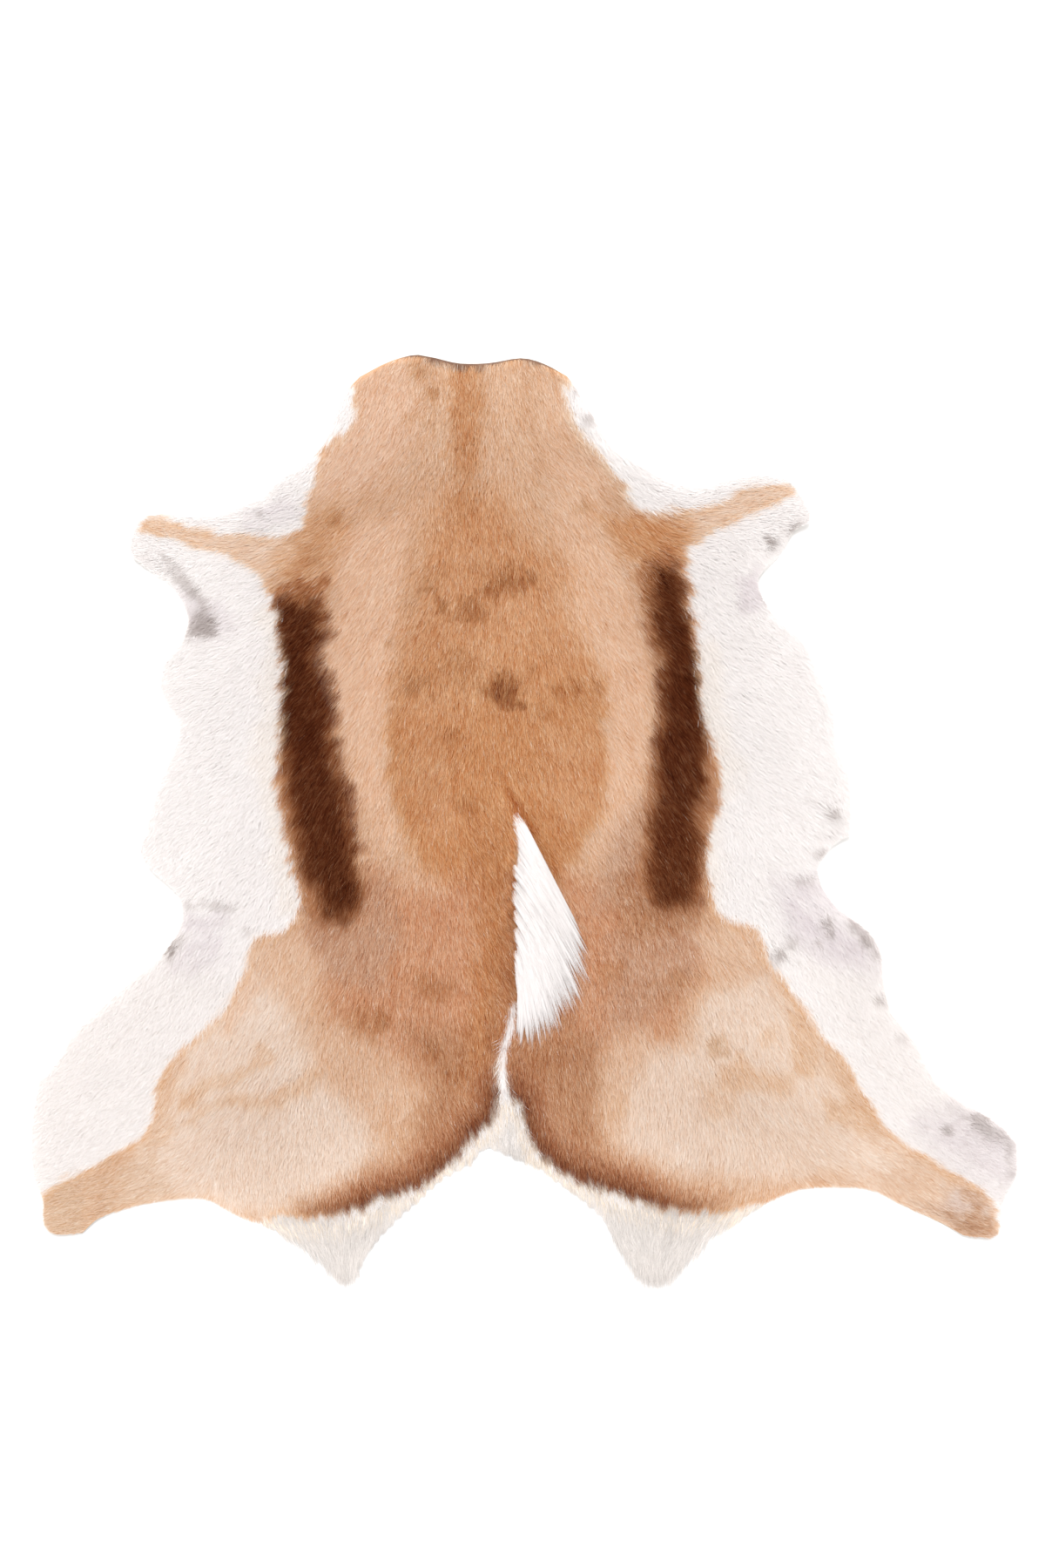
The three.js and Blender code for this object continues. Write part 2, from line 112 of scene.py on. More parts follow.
# Colours of the hair, chosen so that the lit coat looks as it does in the photograph
TAN = "#DDB592"
NECK_PALE = "#E8C5A8"
PALE_TAN = "#E9C4A4"
UPPER_BACK = "#D39A69"
SADDLE_TAN = "#CE905A"
LOWER_BACK = "#D2986E"
SLIT_TAN = "#C4814A"
SLIT_BROWN = "#B17143"
GREY_TAN = "#C99D7E"
SPINE_TAN = "#D09664"
HAUNCH = "#EAD5C3"
HAUNCH_TAN = "#E4C2A4"
HAUNCH_BROWN = "#BF875D"
STREAK_TAN = "#DFB893"
FORELEG_TAN = "#EDD3BC"
FOOT_TAN = "#DFC2A6"
RIGHT_FOOT_TAN = "#DEC9BD"
RING_TAN = "#C08259"
RING_BROWN = "#9A5730"
RING_DARK = "#7A3A17"
# Painted shadow: the brown of the shade in the fold by the crest
FOLD_SHADOW_BROWN = "#B0622A"
STRIPE_DARK = "#4E1E09"
STRIPE_RED = "#B57A52"
STRIPE_TOP = "#B47040"
SHOULDER_ORANGE = "#D3945D"
GOLDEN = "#E9BE8E"
STRIPE_TIPS = "#E0B084"
CREAM = "#F0DCC2"
WHITE = "#F3EEEC"
CREST_WHITE = "#E9E3E1"
RUMP_WHITE = "#D7D0CB"
# The grey of bare skin, also used for the painted shadow lines beside curled edges
LEG_WHITE = "#EFE9E6"
MAUVE = "#D9CED1"
BARE_SKIN_AND_SHADOW_GREY = "#9C8F8A"
NECK_RIM = "#8C7060"
SMUDGE = "#8F4A1C"
SUEDE = "#D9C7B2"
SUEDE_DEEP = "#C6AE93"
SUEDE_PALE = "#E4D6C4"
SUEDE_CLOUDS = 9  # clouds to a metre
SUEDE_NAP = 420  # specks of the nap to a metre

# Studio
CAMERA_AT = (-0.0013, 0.0405, 3.52)
CAMERA_LENS = 80
FLOOR_SIZE = 8
FLOOR_AT = -0.0004
PAPER = 0.95
SUN = {"strength": 1.7, "softness": 0.35, "turn": (-26, -2.5)}  # its turn about X and Y in degrees

# Where the coat is coloured: all the rest of the pelt is white.
COLOURED_COAT = [
    (405, 440), (407, 470), (398, 495), (372, 515), (365, 535), (362, 555), (352, 575), (355, 590),
    (345, 605), (320, 614), (290, 615), (250, 613), (220, 607), (195, 599), (170, 593), (160, 600),
    (160, 610), (180, 614), (200, 620), (220, 628), (245, 635), (262, 637), (275, 643), (290, 652),
    (302, 662), (312, 685), (317, 705), (320, 740), (324, 780), (325, 830), (321, 870), (317, 905),
    (323, 930), (329, 955), (336, 985), (341, 1010), (344, 1035), (339, 1055), (322, 1068),
    (296, 1075), (290, 1090), (285, 1110), (275, 1125),
    (262, 1150), (240, 1180), (220, 1197), (200, 1210), (190, 1228), (180, 1250), (176, 1275),
    (165, 1300), (140, 1320), (105, 1340), (70, 1355), (55, 1365), (30, 1380), (40, 1440),
    (290, 1430), (306, 1412), (315, 1394), (345, 1400), (385, 1397), (420, 1386), (440, 1376),
    (462, 1373), (483, 1366), (504, 1349), (525, 1330), (536, 1322), (543, 1311), (552, 1300),
    (565, 1289), (572, 1274), (576, 1256), (577, 1232), (578, 1215), (579, 1228), (580, 1248),
    (583, 1261), (592, 1268), (595, 1281), (599, 1292), (604, 1304), (610, 1317), (619, 1327),
    (633, 1340), (648, 1350), (664, 1357), (680, 1363), (690, 1369), (705, 1370), (715, 1374),
    (725, 1379), (740, 1382), (752, 1385), (765, 1390), (800, 1392), (830, 1391), (850, 1386),
    (870, 1381), (884, 1400), (1040, 1410), (1120, 1450), (1170, 1440), (1150, 1415), (1143, 1385),
    (1130, 1368), (1110, 1355), (1085, 1342), (1065, 1328), (1040, 1315), (1020, 1298),
    (1008, 1280), (995, 1260), (985, 1245), (978, 1225), (965, 1208), (950, 1195), (935, 1175),
    (920, 1155), (905, 1135), (890, 1115), (880, 1100), (878, 1085), (870, 1065), (845, 1058),
    (820, 1045), (814, 1020), (812, 1000), (812, 965), (820, 940), (828, 910), (827, 880),
    (820, 860), (810, 835), (805, 800), (801, 760), (798, 722), (793, 700), (790, 670), (785, 645),
    (790, 632), (798, 624), (808, 617), (820, 607),
    (840, 600), (858, 592), (875, 586), (895, 578), (912, 568), (912, 560), (895, 556), (870, 558),
    (850, 563), (835, 573), (815, 583), (790, 585), (765, 587), (745, 588), (730, 580), (722, 568),
    (718, 553), (705, 543), (692, 528), (678, 512), (668, 493), (655, 475), (652, 450), (660, 420),
    (640, 390), (440, 390), (400, 425),
]

# Each flank stripe, with its reddish outer hairs and without them
LEFT_STRIPE = [
    (322, 690), (320, 720), (318, 745), (320, 780), (321, 820), (319, 850), (315, 880), (315, 905),
    (320, 930), (327, 955), (333, 985), (338, 1010), (346, 1030), (358, 1046), (378, 1056),
    (398, 1056), (412, 1048), (420, 1020), (418, 995), (411, 970), (402, 940), (397, 910),
    (391, 880), (386, 855), (383, 835), (378, 812), (368, 785), (362, 760), (362, 742), (374, 722),
    (376, 702), (366, 688), (344, 682),
]
LEFT_STRIPE_CORE = [
    (326, 692), (321, 730), (321, 780), (323, 820), (328, 850), (337, 880), (341, 910), (346, 940),
    (351, 970), (358, 1000), (367, 1022), (379, 1038), (394, 1045), (408, 1040), (414, 1015),
    (411, 985), (403, 960), (396, 930), (391, 900), (386, 872), (382, 845), (379, 820), (374, 795),
    (367, 770), (363, 748), (370, 726), (372, 706), (364, 692), (344, 688),
]
RIGHT_STRIPE = [
    (746, 650), (740, 672), (736, 695), (742, 722), (752, 745), (757, 775), (757, 810), (754, 850),
    (748, 880), (742, 915), (738, 950), (733, 985), (731, 1008), (738, 1026), (752, 1040),
    (776, 1046), (796, 1042), (806, 1022), (806, 1000), (806, 972), (812, 948), (822, 922),
    (824, 895), (818, 868), (810, 840), (804, 810), (800, 775), (797, 740), (792, 710), (784, 682),
    (778, 662), (764, 648),
]
RIGHT_STRIPE_CORE = [
    (753, 650), (748, 685), (748, 705), (753, 722), (758, 745), (761, 780), (760, 820), (757, 856),
    (753, 890), (749, 925), (746, 960), (743, 990), (746, 1014), (753, 1030), (776, 1037),
    (792, 1030), (795, 1004), (794, 975), (797, 945), (803, 915), (806, 885), (805, 850),
    (802, 815), (800, 780), (797, 745), (791, 715), (782, 690), (777, 670), (764, 656),
]


def patch(colour, share, soft, area, **more):
    """How paint() lays a colour: its share, the width that it fades over, and its outline.

    Where they are given, it also reads how ragged or broken the patch is, how far its edge is
    drawn in (inset), and between which rows of the photograph it comes in.
    """
    return {"colour": colour, "share": share, "soft": soft, "area": area, **more}


# Patches of the coloured coat, laid over each other in this order
COAT_PATCHES = {
    "all of it": patch(TAN, 1.0, 1, [(0, 300), (1200, 300), (1200, 1500), (0, 1500)]),
    "neck, left": patch(NECK_PALE, 0.9, 50, [
        (395, 420), (470, 412), (482, 470), (470, 520), (410, 580), (352, 570)]),
    "left shoulder and light band": patch(PALE_TAN, 0.85, 34, [
        (392, 600), (470, 590), (466, 690), (456, 740), (448, 800), (446, 900), (456, 940),
        (462, 966), (446, 968), (428, 945), (412, 905), (388, 800), (368, 735), (392, 680)]),
    "right shoulder and light band": patch(PALE_TAN, 0.7, 34, [
        (630, 520), (690, 545), (690, 600), (712, 650), (735, 700), (750, 780), (752, 880),
        (738, 925), (714, 960), (690, 1000), (672, 985), (692, 930), (692, 900), (694, 800),
        (664, 740), (640, 660)]),
    "left light band, brightest": patch(PALE_TAN, 0.6, 20, [
        (386, 750), (438, 740), (440, 830), (444, 910), (422, 930), (400, 870)]),
    "right light band, brightest": patch(PALE_TAN, 0.6, 20, [
        (698, 730), (740, 740), (746, 840), (738, 900), (702, 910), (696, 830)]),
    "upper back": patch(UPPER_BACK, 0.95, 58, [
        (510, 560), (566, 560), (612, 610), (646, 655), (655, 715), (682, 775), (464, 775),
        (474, 700), (478, 645), (502, 600)]),
    "saddle": patch(SADDLE_TAN, 1.0, 27, [
        (472, 690), (454, 775), (447, 850), (453, 930), (478, 975), (504, 1012), (512, 1060),
        (650, 1060), (652, 1000), (664, 982), (684, 944), (692, 900), (692, 788),
        (660, 690)], comes_in=(690, 860)),
    "saddle, right part": patch(UPPER_BACK, 0.8, 36, [
        (624, 830), (686, 840), (684, 930), (650, 950), (620, 900)]),
    "right corner of the saddle": patch(SADDLE_TAN, 0.6, 14, [
        (634, 780), (688, 784), (690, 820), (650, 815)]),
    "saddle, left part": patch(UPPER_BACK, 0.8, 40, [
        (470, 800), (520, 800), (520, 960), (490, 960), (468, 900)]),
    "lower back": patch(LOWER_BACK, 0.95, 50, [
        (425, 985), (455, 1008), (490, 1014), (530, 1005), (650, 1000), (690, 1015), (725, 1000),
        (800, 1062), (822, 1100), (782, 1140), (768, 1195), (690, 1200), (650, 1240), (560, 1250),
        (480, 1235), (400, 1185), (372, 1140), (345, 1080)]),
    "below the left stripe": patch(GREY_TAN, 0.75, 40, [
        (352, 1068), (414, 1060), (424, 1000), (446, 1000), (458, 1050), (452, 1090), (430, 1130),
        (372, 1122), (348, 1095)]),
    "below the right stripe": patch(GREY_TAN, 0.7, 40, [
        (700, 1080), (735, 1055), (800, 1055), (822, 1085), (790, 1130), (735, 1180), (700, 1180)]),
    "spine on the neck": patch(SPINE_TAN, 0.9, 24, [
        (516, 410), (554, 410), (552, 480), (548, 560), (560, 620), (520, 620), (520, 540)]),
    "left foreleg": patch(FORELEG_TAN, 0.95, 18, [
        (150, 590), (320, 600), (345, 640), (300, 670), (150, 620)]),
    "right foreleg": patch(FORELEG_TAN, 0.9, 18, [
        (790, 590), (850, 560), (925, 550), (925, 580), (860, 596), (795, 625), (770, 610)]),
    "left shoulder point": patch(SHOULDER_ORANGE, 0.35, 28, [
        (352, 590), (395, 575), (402, 605), (378, 650), (370, 690), (330, 680), (318, 650)]),
    "above the left stripe": patch(STRIPE_TOP, 0.9, 16, [
        (318, 666), (345, 660), (372, 666), (380, 700), (350, 715), (318, 700)]),
    "right shoulder point": patch(SHOULDER_ORANGE, 0.75, 28, [
        (690, 592), (730, 592), (790, 604), (788, 640), (775, 660), (740, 660), (716, 632)]),
    "above the right stripe": patch(STRIPE_TOP, 0.75, 22, [
        (738, 640), (764, 634), (784, 650), (786, 690), (744, 690), (732, 660)]),
    "below the right light band": patch(GREY_TAN, 0.7, 34, [
        (690, 975), (736, 915), (740, 1040), (682, 1040)]),
    "shade below the right stripe": patch(HAUNCH_BROWN, 0.95, 34, [
        (716, 1000), (745, 1030), (795, 1035), (804, 1056), (770, 1070), (735, 1080), (716, 1050)]),
    "neck, right": patch(NECK_PALE, 0.5, 36, [
        (622, 440), (655, 440), (670, 500), (690, 540), (650, 545), (630, 500)]),
    "left haunch": patch(HAUNCH, 1.0, 40, [
        (288, 1095), (325, 1125), (350, 1190), (385, 1240), (425, 1280), (440, 1315), (415, 1345),
        (370, 1372), (300, 1405), (240, 1385), (140, 1375), (150, 1320), (185, 1265), (215, 1195),
        (255, 1150)]),
    "left haunch, towards the slit": patch(HAUNCH_TAN, 0.75, 48, [
        (372, 1185), (440, 1190), (480, 1240), (478, 1290), (440, 1300), (400, 1262), (362, 1225)]),
    "left haunch, by the slit": patch(HAUNCH_BROWN, 0.85, 46, [
        (470, 1180), (572, 1180), (566, 1270), (530, 1320), (480, 1345), (478, 1300), (492, 1250)]),
    "right haunch": patch(HAUNCH, 0.95, 40, [
        (884, 1115), (850, 1110), (800, 1150), (790, 1195), (735, 1205), (700, 1270), (705, 1320),
        (790, 1350), (880, 1362), (960, 1352), (1030, 1350), (1005, 1290), (960, 1225),
        (912, 1160)]),
    "right haunch, by the slit": patch(HAUNCH_BROWN, 0.8, 44, [
        (584, 1190), (680, 1190), (694, 1240), (690, 1300), (700, 1345), (640, 1330), (592, 1262)]),
    "right haunch, tan edge of the brown": patch(HAUNCH_TAN, 0.8, 40, [
        (700, 1180), (750, 1180), (735, 1215), (720, 1260), (715, 1310), (690, 1310), (690, 1240)]),
    "left flank above the haunch": patch(HAUNCH_TAN, 0.85, 26, [
        (300, 1080), (345, 1068), (372, 1110), (352, 1150), (312, 1138), (290, 1112)]),
    "right flank above the haunch": patch(HAUNCH_TAN, 0.8, 26, [
        (800, 1062), (868, 1062), (874, 1092), (852, 1130), (815, 1125), (800, 1095)]),
    "left haunch, upper streak": patch(STREAK_TAN, 0.5, 13, [
        (203, 1280), (212, 1252), (250, 1236), (280, 1222), (300, 1204), (345, 1200), (312, 1216),
        (286, 1238), (252, 1250), (222, 1266)]),
    "left haunch, lower streak": patch(STREAK_TAN, 0.55, 13, [
        (214, 1288), (240, 1262), (272, 1252), (304, 1256), (344, 1240), (380, 1212), (385, 1226),
        (352, 1254), (322, 1272), (286, 1268), (246, 1278)]),
    "left haunch, speck": patch(STREAK_TAN, 0.5, 9, [(208, 1254), (224, 1252), (228, 1268), (210, 1272)]),
    "left haunch, outer edge": patch(STREAK_TAN, 0.35, 16, [
        (176, 1268), (190, 1232), (205, 1236), (196, 1270), (204, 1300), (176, 1318), (160, 1316)]),
    "left haunch, front edge": patch(PALE_TAN, 0.5, 18, [
        (258, 1150), (286, 1110), (298, 1120), (280, 1165), (255, 1190)]),
    "right haunch, front streak": patch(STREAK_TAN, 0.6, 13, [
        (905, 1160), (922, 1170), (938, 1205), (930, 1232), (914, 1222), (906, 1190)]),
    "right haunch, round spot": patch(STREAK_TAN, 0.35, 12, [
        (872, 1172), (892, 1170), (896, 1196), (876, 1202)]),
    "right haunch, middle patch": patch(STREAK_TAN, 0.6, 15, [
        (824, 1226), (846, 1210), (872, 1222), (906, 1236), (906, 1254), (862, 1254), (826, 1246)]),
    "right haunch, low patch": patch(STREAK_TAN, 0.35, 16, [
        (800, 1245), (850, 1252), (850, 1280), (815, 1276)]),
    "right haunch, rear patch": patch(STREAK_TAN, 0.55, 13, [
        (945, 1262), (975, 1256), (1002, 1282), (1012, 1302), (985, 1300), (952, 1284)]),
    "right haunch, outer edge": patch(STREAK_TAN, 0.35, 15, [
        (948, 1204), (970, 1218), (986, 1252), (1010, 1296), (990, 1282), (965, 1256), (948, 1228)]),
    "right haunch, golden spot": patch(STREAK_TAN, 0.5, 16, [
        (690, 1252), (718, 1256), (722, 1276), (700, 1284)]),
    "left shank": patch(FOOT_TAN, 0.5, 30, [
        (110, 1330), (170, 1325), (200, 1372), (110, 1420), (30, 1430), (40, 1360)]),
    "left foot": patch(FOOT_TAN, 0.75, 22, [(40, 1362), (84, 1356), (94, 1385), (90, 1425), (30, 1425)]),
    "right shank": patch(HAUNCH, 0.6, 24, [
        (1010, 1310), (1070, 1336), (1140, 1380), (1150, 1430), (1080, 1420), (980, 1385),
        (960, 1360)]),
    "right foot": patch(RIGHT_FOOT_TAN, 0.85, 24, [
        (1092, 1362), (1140, 1380), (1155, 1425), (1100, 1420), (1080, 1392)]),
    "right foot, spot": patch(HAUNCH_BROWN, 0.3, 10, [
        (1106, 1366), (1128, 1370), (1130, 1384), (1108, 1382)]),
    # The curled leather edge and the painted shadow line beside it
    "right foot, lower edge and its painted shadow line": patch(SLIT_BROWN, 0.38, 24, [
        (1084, 1392), (1142, 1398), (1144, 1420), (1100, 1414)]),
    "left of the slit": patch(SLIT_TAN, 0.85, 44, [
        (548, 960), (594, 945), (592, 1130), (576, 1240), (560, 1290), (530, 1290), (540, 1200),
        (548, 1100)]),
    "left edge of the slit": patch(SLIT_BROWN, 0.75, 24, [
        (580, 1000), (596, 1000), (596, 1130), (582, 1210), (578, 1262), (560, 1282), (562, 1190),
        (574, 1100)]),
    "right of the slit": patch(SLIT_BROWN, 0.38, 36, [
        (580, 1205), (622, 1196), (656, 1166), (668, 1200), (636, 1240), (620, 1290), (592, 1262)]),
    # Painted shadow: a dark line where the fold above and beside the crest lies in shade
    "painted shadow in the fold above the crest": patch(FOLD_SHADOW_BROWN, 0.9, 9, [
        (570, 884), (578, 888), (598, 924), (612, 950), (600, 950), (588, 930)]),
    "painted shadow along the fold beside the crest": patch(FOLD_SHADOW_BROWN, 0.28, 8, [
        (598, 930), (604, 930), (628, 974), (648, 1014), (640, 1014), (614, 974)]),
    "left stripe, edge": patch(STRIPE_RED, 0.95, 24, LEFT_STRIPE, ragged=2, inset=-4),
    "right stripe, edge": patch(STRIPE_RED, 0.95, 24, RIGHT_STRIPE, ragged=2, inset=-4),
    "left stripe": patch(STRIPE_DARK, 1.0, 28, LEFT_STRIPE_CORE, ragged=2),
    "right stripe": patch(STRIPE_DARK, 1.0, 28, RIGHT_STRIPE_CORE, ragged=2),
    "right stripe, paler end": patch(STRIPE_RED, 0.2, 30, [
        (748, 920), (802, 920), (800, 1040), (744, 1040)]),
    "neck rim": patch(NECK_RIM, 0.9, 6, [
        (462, 400), (560, 398), (645, 400), (645, 429), (620, 422), (600, 416), (575, 422),
        (556, 426), (520, 427), (500, 420), (480, 413), (462, 413)]),
}

# The brown ring above the rump hair: each tone, its share, and how far it keeps full and reaches
RING_TONES = [(RING_TAN, 0.84, 10, 63), (RING_BROWN, 0.9, 8, 44), (RING_DARK, 0.95, 3, 23)]
RING_COLUMNS = [318, 452, 706, 850]  # where it comes in, is at its full, wanes and ends

# Small darker spots of the coat: place, radius and how much of the colour
SMUDGES = [
    (543, 700, 20, 0.38), (585, 672, 14, 0.33), (528, 765, 26, 0.17),
    (580, 791, 18, 0.95), (612, 768, 12, 0.2), (640, 790, 12, 0.26), (662, 790, 13, 0.28),
    (684, 790, 10, 0.24), (622, 815, 14, 0.16), (518, 845, 9, 0.2), (488, 780, 16, 0.13),
    (470, 700, 16, 0.06), (532, 922, 16, 0.2), (671, 582, 11, 0.2), (555, 652, 18, 0.16),
    (505, 655, 16, 0.13), (412, 1165, 19, 0.12), (436, 1172, 12, 0.25), (490, 1130, 22, 0.25),
    (525, 1238, 16, 0.2), (500, 1205, 16, 0.2), (776, 1122, 16, 0.2),
    (820, 1198, 9, 0.15), (385, 596, 12, 0.2), (366, 640, 12, 0.1), (478, 428, 12, 0.15),
    (470, 480, 12, 0.1), (592, 655, 10, 0.15), (700, 1112, 14, 0.15),
]

# Bare or thin places in the white, each with its own colour, and curled edges with their painted shadow
# lines
THIN_PATCHES = {
    "left hind leg": patch(LEG_WHITE, 0.9, 60, [
        (30, 1180), (200, 1080), (270, 1130), (160, 1330), (40, 1400)]),
    "right hind leg": patch(LEG_WHITE, 1.0, 60, [
        (900, 1090), (1000, 1100), (1110, 1240), (1180, 1380), (1060, 1340), (960, 1210)]),
    "left armpit": patch(BARE_SKIN_AND_SHADOW_GREY, 0.42, 12, [
        (218, 702), (240, 694), (254, 710), (246, 724), (222, 726)], broken=1),
    "left armpit, veil": patch(MAUVE, 0.38, 22, [
        (205, 680), (250, 685), (275, 720), (250, 740), (212, 732)], broken=0.4),
    # The curled leather edge and the painted shadow line beside it
    "left foreleg, back edge and its painted shadow line": patch(BARE_SKIN_AND_SHADOW_GREY, 0.35, 5, [
        (186, 636), (206, 652), (230, 676), (246, 698), (238, 700), (216, 682),
        (196, 660)], broken=0.5),
    "left groin, upper": patch(BARE_SKIN_AND_SHADOW_GREY, 0.4, 9, [
        (212, 1036), (246, 1031), (272, 1038), (268, 1046), (240, 1043), (216, 1046)], broken=1),
    "left groin, middle": patch(MAUVE, 0.5, 14, [
        (212, 1046), (262, 1044), (262, 1060), (240, 1072), (208, 1070)], broken=0.8),
    "left groin, rim": patch(BARE_SKIN_AND_SHADOW_GREY, 0.4, 7, [
        (190, 1104), (192, 1088), (206, 1074), (222, 1070), (212, 1080), (202, 1094)], broken=0.7),
    "left groin, lower": patch(MAUVE, 0.55, 20, [
        (212, 1078), (256, 1072), (260, 1098), (225, 1116), (190, 1116)], broken=0.8),
    "right groin": patch(MAUVE, 0.65, 36, [
        (890, 1012), (935, 1004), (965, 1040), (1000, 1072), (1012, 1110), (960, 1112),
        (905, 1082)], broken=0.6),
    "right groin, rim": patch(BARE_SKIN_AND_SHADOW_GREY, 0.5, 8, [
        (974, 1054), (988, 1066), (1004, 1084), (1012, 1102), (1002, 1100), (986, 1080),
        (974, 1066)], broken=0.7),
    "right groin, upper rim": patch(BARE_SKIN_AND_SHADOW_GREY, 0.35, 8, [
        (895, 1008), (938, 1006), (940, 1014), (898, 1018)], broken=1),
    "right armpit": patch(MAUVE, 0.55, 14, [(848, 664), (870, 656), (878, 690), (854, 694)], broken=0.3),
    # The curled leather edge and the painted shadow line beside it
    "right foreleg, curled edge and its painted shadow line": patch(BARE_SKIN_AND_SHADOW_GREY, 0.85, 4, [
        (902, 616), (912, 602), (926, 597), (920, 606), (908, 618)]),
    "right hind foot": patch(MAUVE, 0.45, 52, [
        (1050, 1290), (1100, 1268), (1170, 1300), (1170, 1365), (1120, 1352),
        (1080, 1322)], broken=0.25),
    # The curled leather edge and the painted shadow line beside it
    "right hind foot, rim and its painted shadow line": patch(BARE_SKIN_AND_SHADOW_GREY, 0.3, 12, [
        (1092, 1276), (1130, 1284), (1160, 1300), (1166, 1350), (1154, 1344), (1150, 1312),
        (1120, 1296)]),
    "left foreleg, front": patch(MAUVE, 0.35, 14, [
        (280, 588), (330, 568), (350, 590), (320, 608), (280, 606)], broken=0.6),
    "belly by the left stripe": patch(CREAM, 0.12, 20, [
        (300, 700), (322, 700), (318, 900), (345, 1050), (325, 1050), (300, 900)]),
    "belly by the right stripe": patch(CREAM, 0.12, 20, [
        (800, 700), (820, 760), (845, 880), (830, 960), (825, 1040), (806, 1040), (806, 960)]),
    "rump hair, left": patch(RUMP_WHITE, 0.9, 10, [
        (300, 1395), (420, 1398), (560, 1320), (560, 1360), (400, 1500), (300, 1440)]),
    "rump hair, right": patch(RUMP_WHITE, 0.9, 10, [
        (590, 1320), (700, 1378), (870, 1390), (870, 1430), (760, 1500), (690, 1450), (600, 1350)]),
}
# Grey specks of the white: place, radius and how much of the colour
SPECKS = [
    (232, 712, 8, 0.6), (224, 720, 6, 0.6), (246, 714, 5, 0.6), (222, 680, 4, 0.5), (196, 1092, 6, 0.7),
    (885, 624, 5, 0.9), (880, 618, 4, 0.5), (878, 690, 5, 0.4), (662, 452, 5, 0.5), (675, 483, 6, 0.4),
    (956, 933, 7, 0.5), (944, 980, 6, 0.4), (950, 1058, 7, 0.7), (953, 1070, 5, 0.6), (938, 1083, 4, 0.7),
    (893, 1093, 6, 0.6), (910, 1080, 6, 0.3), (992, 1078, 6, 0.5), (1010, 1148, 8, 0.45),
    (1038, 1192, 6, 0.2), (1090, 1298, 5, 0.5), (286, 1068, 6, 0.25), (300, 592, 5, 0.4),
]

# The lie of the hair: at a place, how far it runs to the right and how far down the photograph.
LIE = [
    (588, 980, 0.6, 1.0), (588, 1060, 0.6, 1.0), (586, 1130, 0.55, 1.0), (584, 1190, -0.4, 1.0),
    (576, 1218, -0.1, 1.0), (540, 440, 0.0, 1.0), (540, 560, 0.0, 1.0), (450, 440, -0.4, 1.0),
    (430, 530, -0.6, 1.0),
    (625, 450, 0.4, 1.0), (650, 530, 0.7, 1.0), (400, 620, -0.8, 0.8), (460, 660, -0.4, 1.0),
    (560, 680, 0.0, 1.0), (640, 660, 0.35, 1.0), (720, 620, 0.8, 0.9), (330, 610, -1.0, 0.3),
    (240, 612, -1.0, 0.05), (170, 600, -1.0, -0.15), (260, 560, -1.0, 0.1), (230, 660, -0.8, 0.6),
    (800, 595, 1.0, 0.0), (860, 575, 1.0, -0.2), (800, 560, 1.0, 0.1), (850, 640, 0.8, 0.5),
    (340, 720, -0.8, 1.0), (340, 820, -0.75, 1.0), (345, 920, -0.6, 1.0), (375, 1030, -0.35, 1.0),
    (410, 800, -0.5, 1.0), (450, 950, -0.3, 1.0), (570, 800, 0.0, 1.0), (480, 850, -0.2, 1.0),
    (650, 880, 0.25, 1.0), (720, 820, 0.6, 1.0), (780, 720, 0.8, 1.0), (790, 820, 0.75, 1.0),
    (795, 920, 0.65, 1.0), (775, 1030, 0.35, 1.0), (240, 760, -0.9, 0.5), (240, 880, -0.8, 0.6),
    (240, 1000, -0.7, 0.7), (880, 760, 0.9, 0.5), (900, 880, 0.8, 0.6), (900, 1000, 0.7, 0.7),
    (480, 1100, -0.05, 1.0), (572, 1000, 0.35, 1.0), (575, 1100, 0.4, 1.0), (560, 1180, 0.25, 1.0),
    (650, 1000, 0.45, 1.0), (690, 1100, 0.3, 1.0), (680, 1200, 0.15, 1.0), (605, 1240, 0.15, 1.0),
    (760, 1130, 0.25, 1.0), (860, 1100, 0.5, 1.0), (340, 1120, -0.35, 1.0), (300, 1180, -0.5, 1.0),
    (400, 1270, 0.0, 1.0), (260, 1270, -0.5, 1.0), (180, 1340, -1.0, 0.6), (90, 1385, -1.0, 0.3),
    (300, 1350, -0.1, 1.0), (360, 1380, 0.15, 1.0), (450, 1360, 0.3, 1.0), (530, 1290, 0.4, 1.0),
    (750, 1270, 0.05, 1.0), (700, 1350, 0.2, 1.0), (800, 1370, -0.1, 1.0), (900, 1260, 0.4, 1.0),
    (980, 1330, 1.0, 0.6), (1100, 1390, 1.0, 0.4), (120, 1250, -0.8, 0.7), (230, 1120, -0.6, 0.8),
    (1040, 1240, 0.8, 0.7), (950, 1110, 0.6, 0.8), (1120, 1320, 1.0, 0.5), (578, 1290, 0.0, 1.0),
    (330, 1420, 0.7, 1.0), (360, 1450, 0.55, 1.0), (397, 1460, 0.05, 1.0), (425, 1425, -0.3, 1.0),
    (460, 1395, -0.1, 1.0), (510, 1350, 0.2, 1.0), (550, 1325, 0.1, 1.0), (620, 1340, 0.1, 1.0),
    (680, 1380, 0.15, 1.0), (712, 1430, 0.25, 1.0), (745, 1460, 0.1, 1.0), (790, 1440, -0.45, 1.0),
    (830, 1410, -0.7, 1.0),
]

# The skin's edge under the rump hair, from left to right
RUMP_SKIN_EDGE = [
    (296, 1399), (330, 1407), (365, 1422), (398, 1438), (428, 1420), (455, 1394), (488, 1362),
    (520, 1338), (548, 1318), (575, 1308), (605, 1318), (635, 1344), (665, 1366), (690, 1385),
    (712, 1415), (745, 1440), (785, 1430), (822, 1404), (860, 1384), (888, 1374),
]
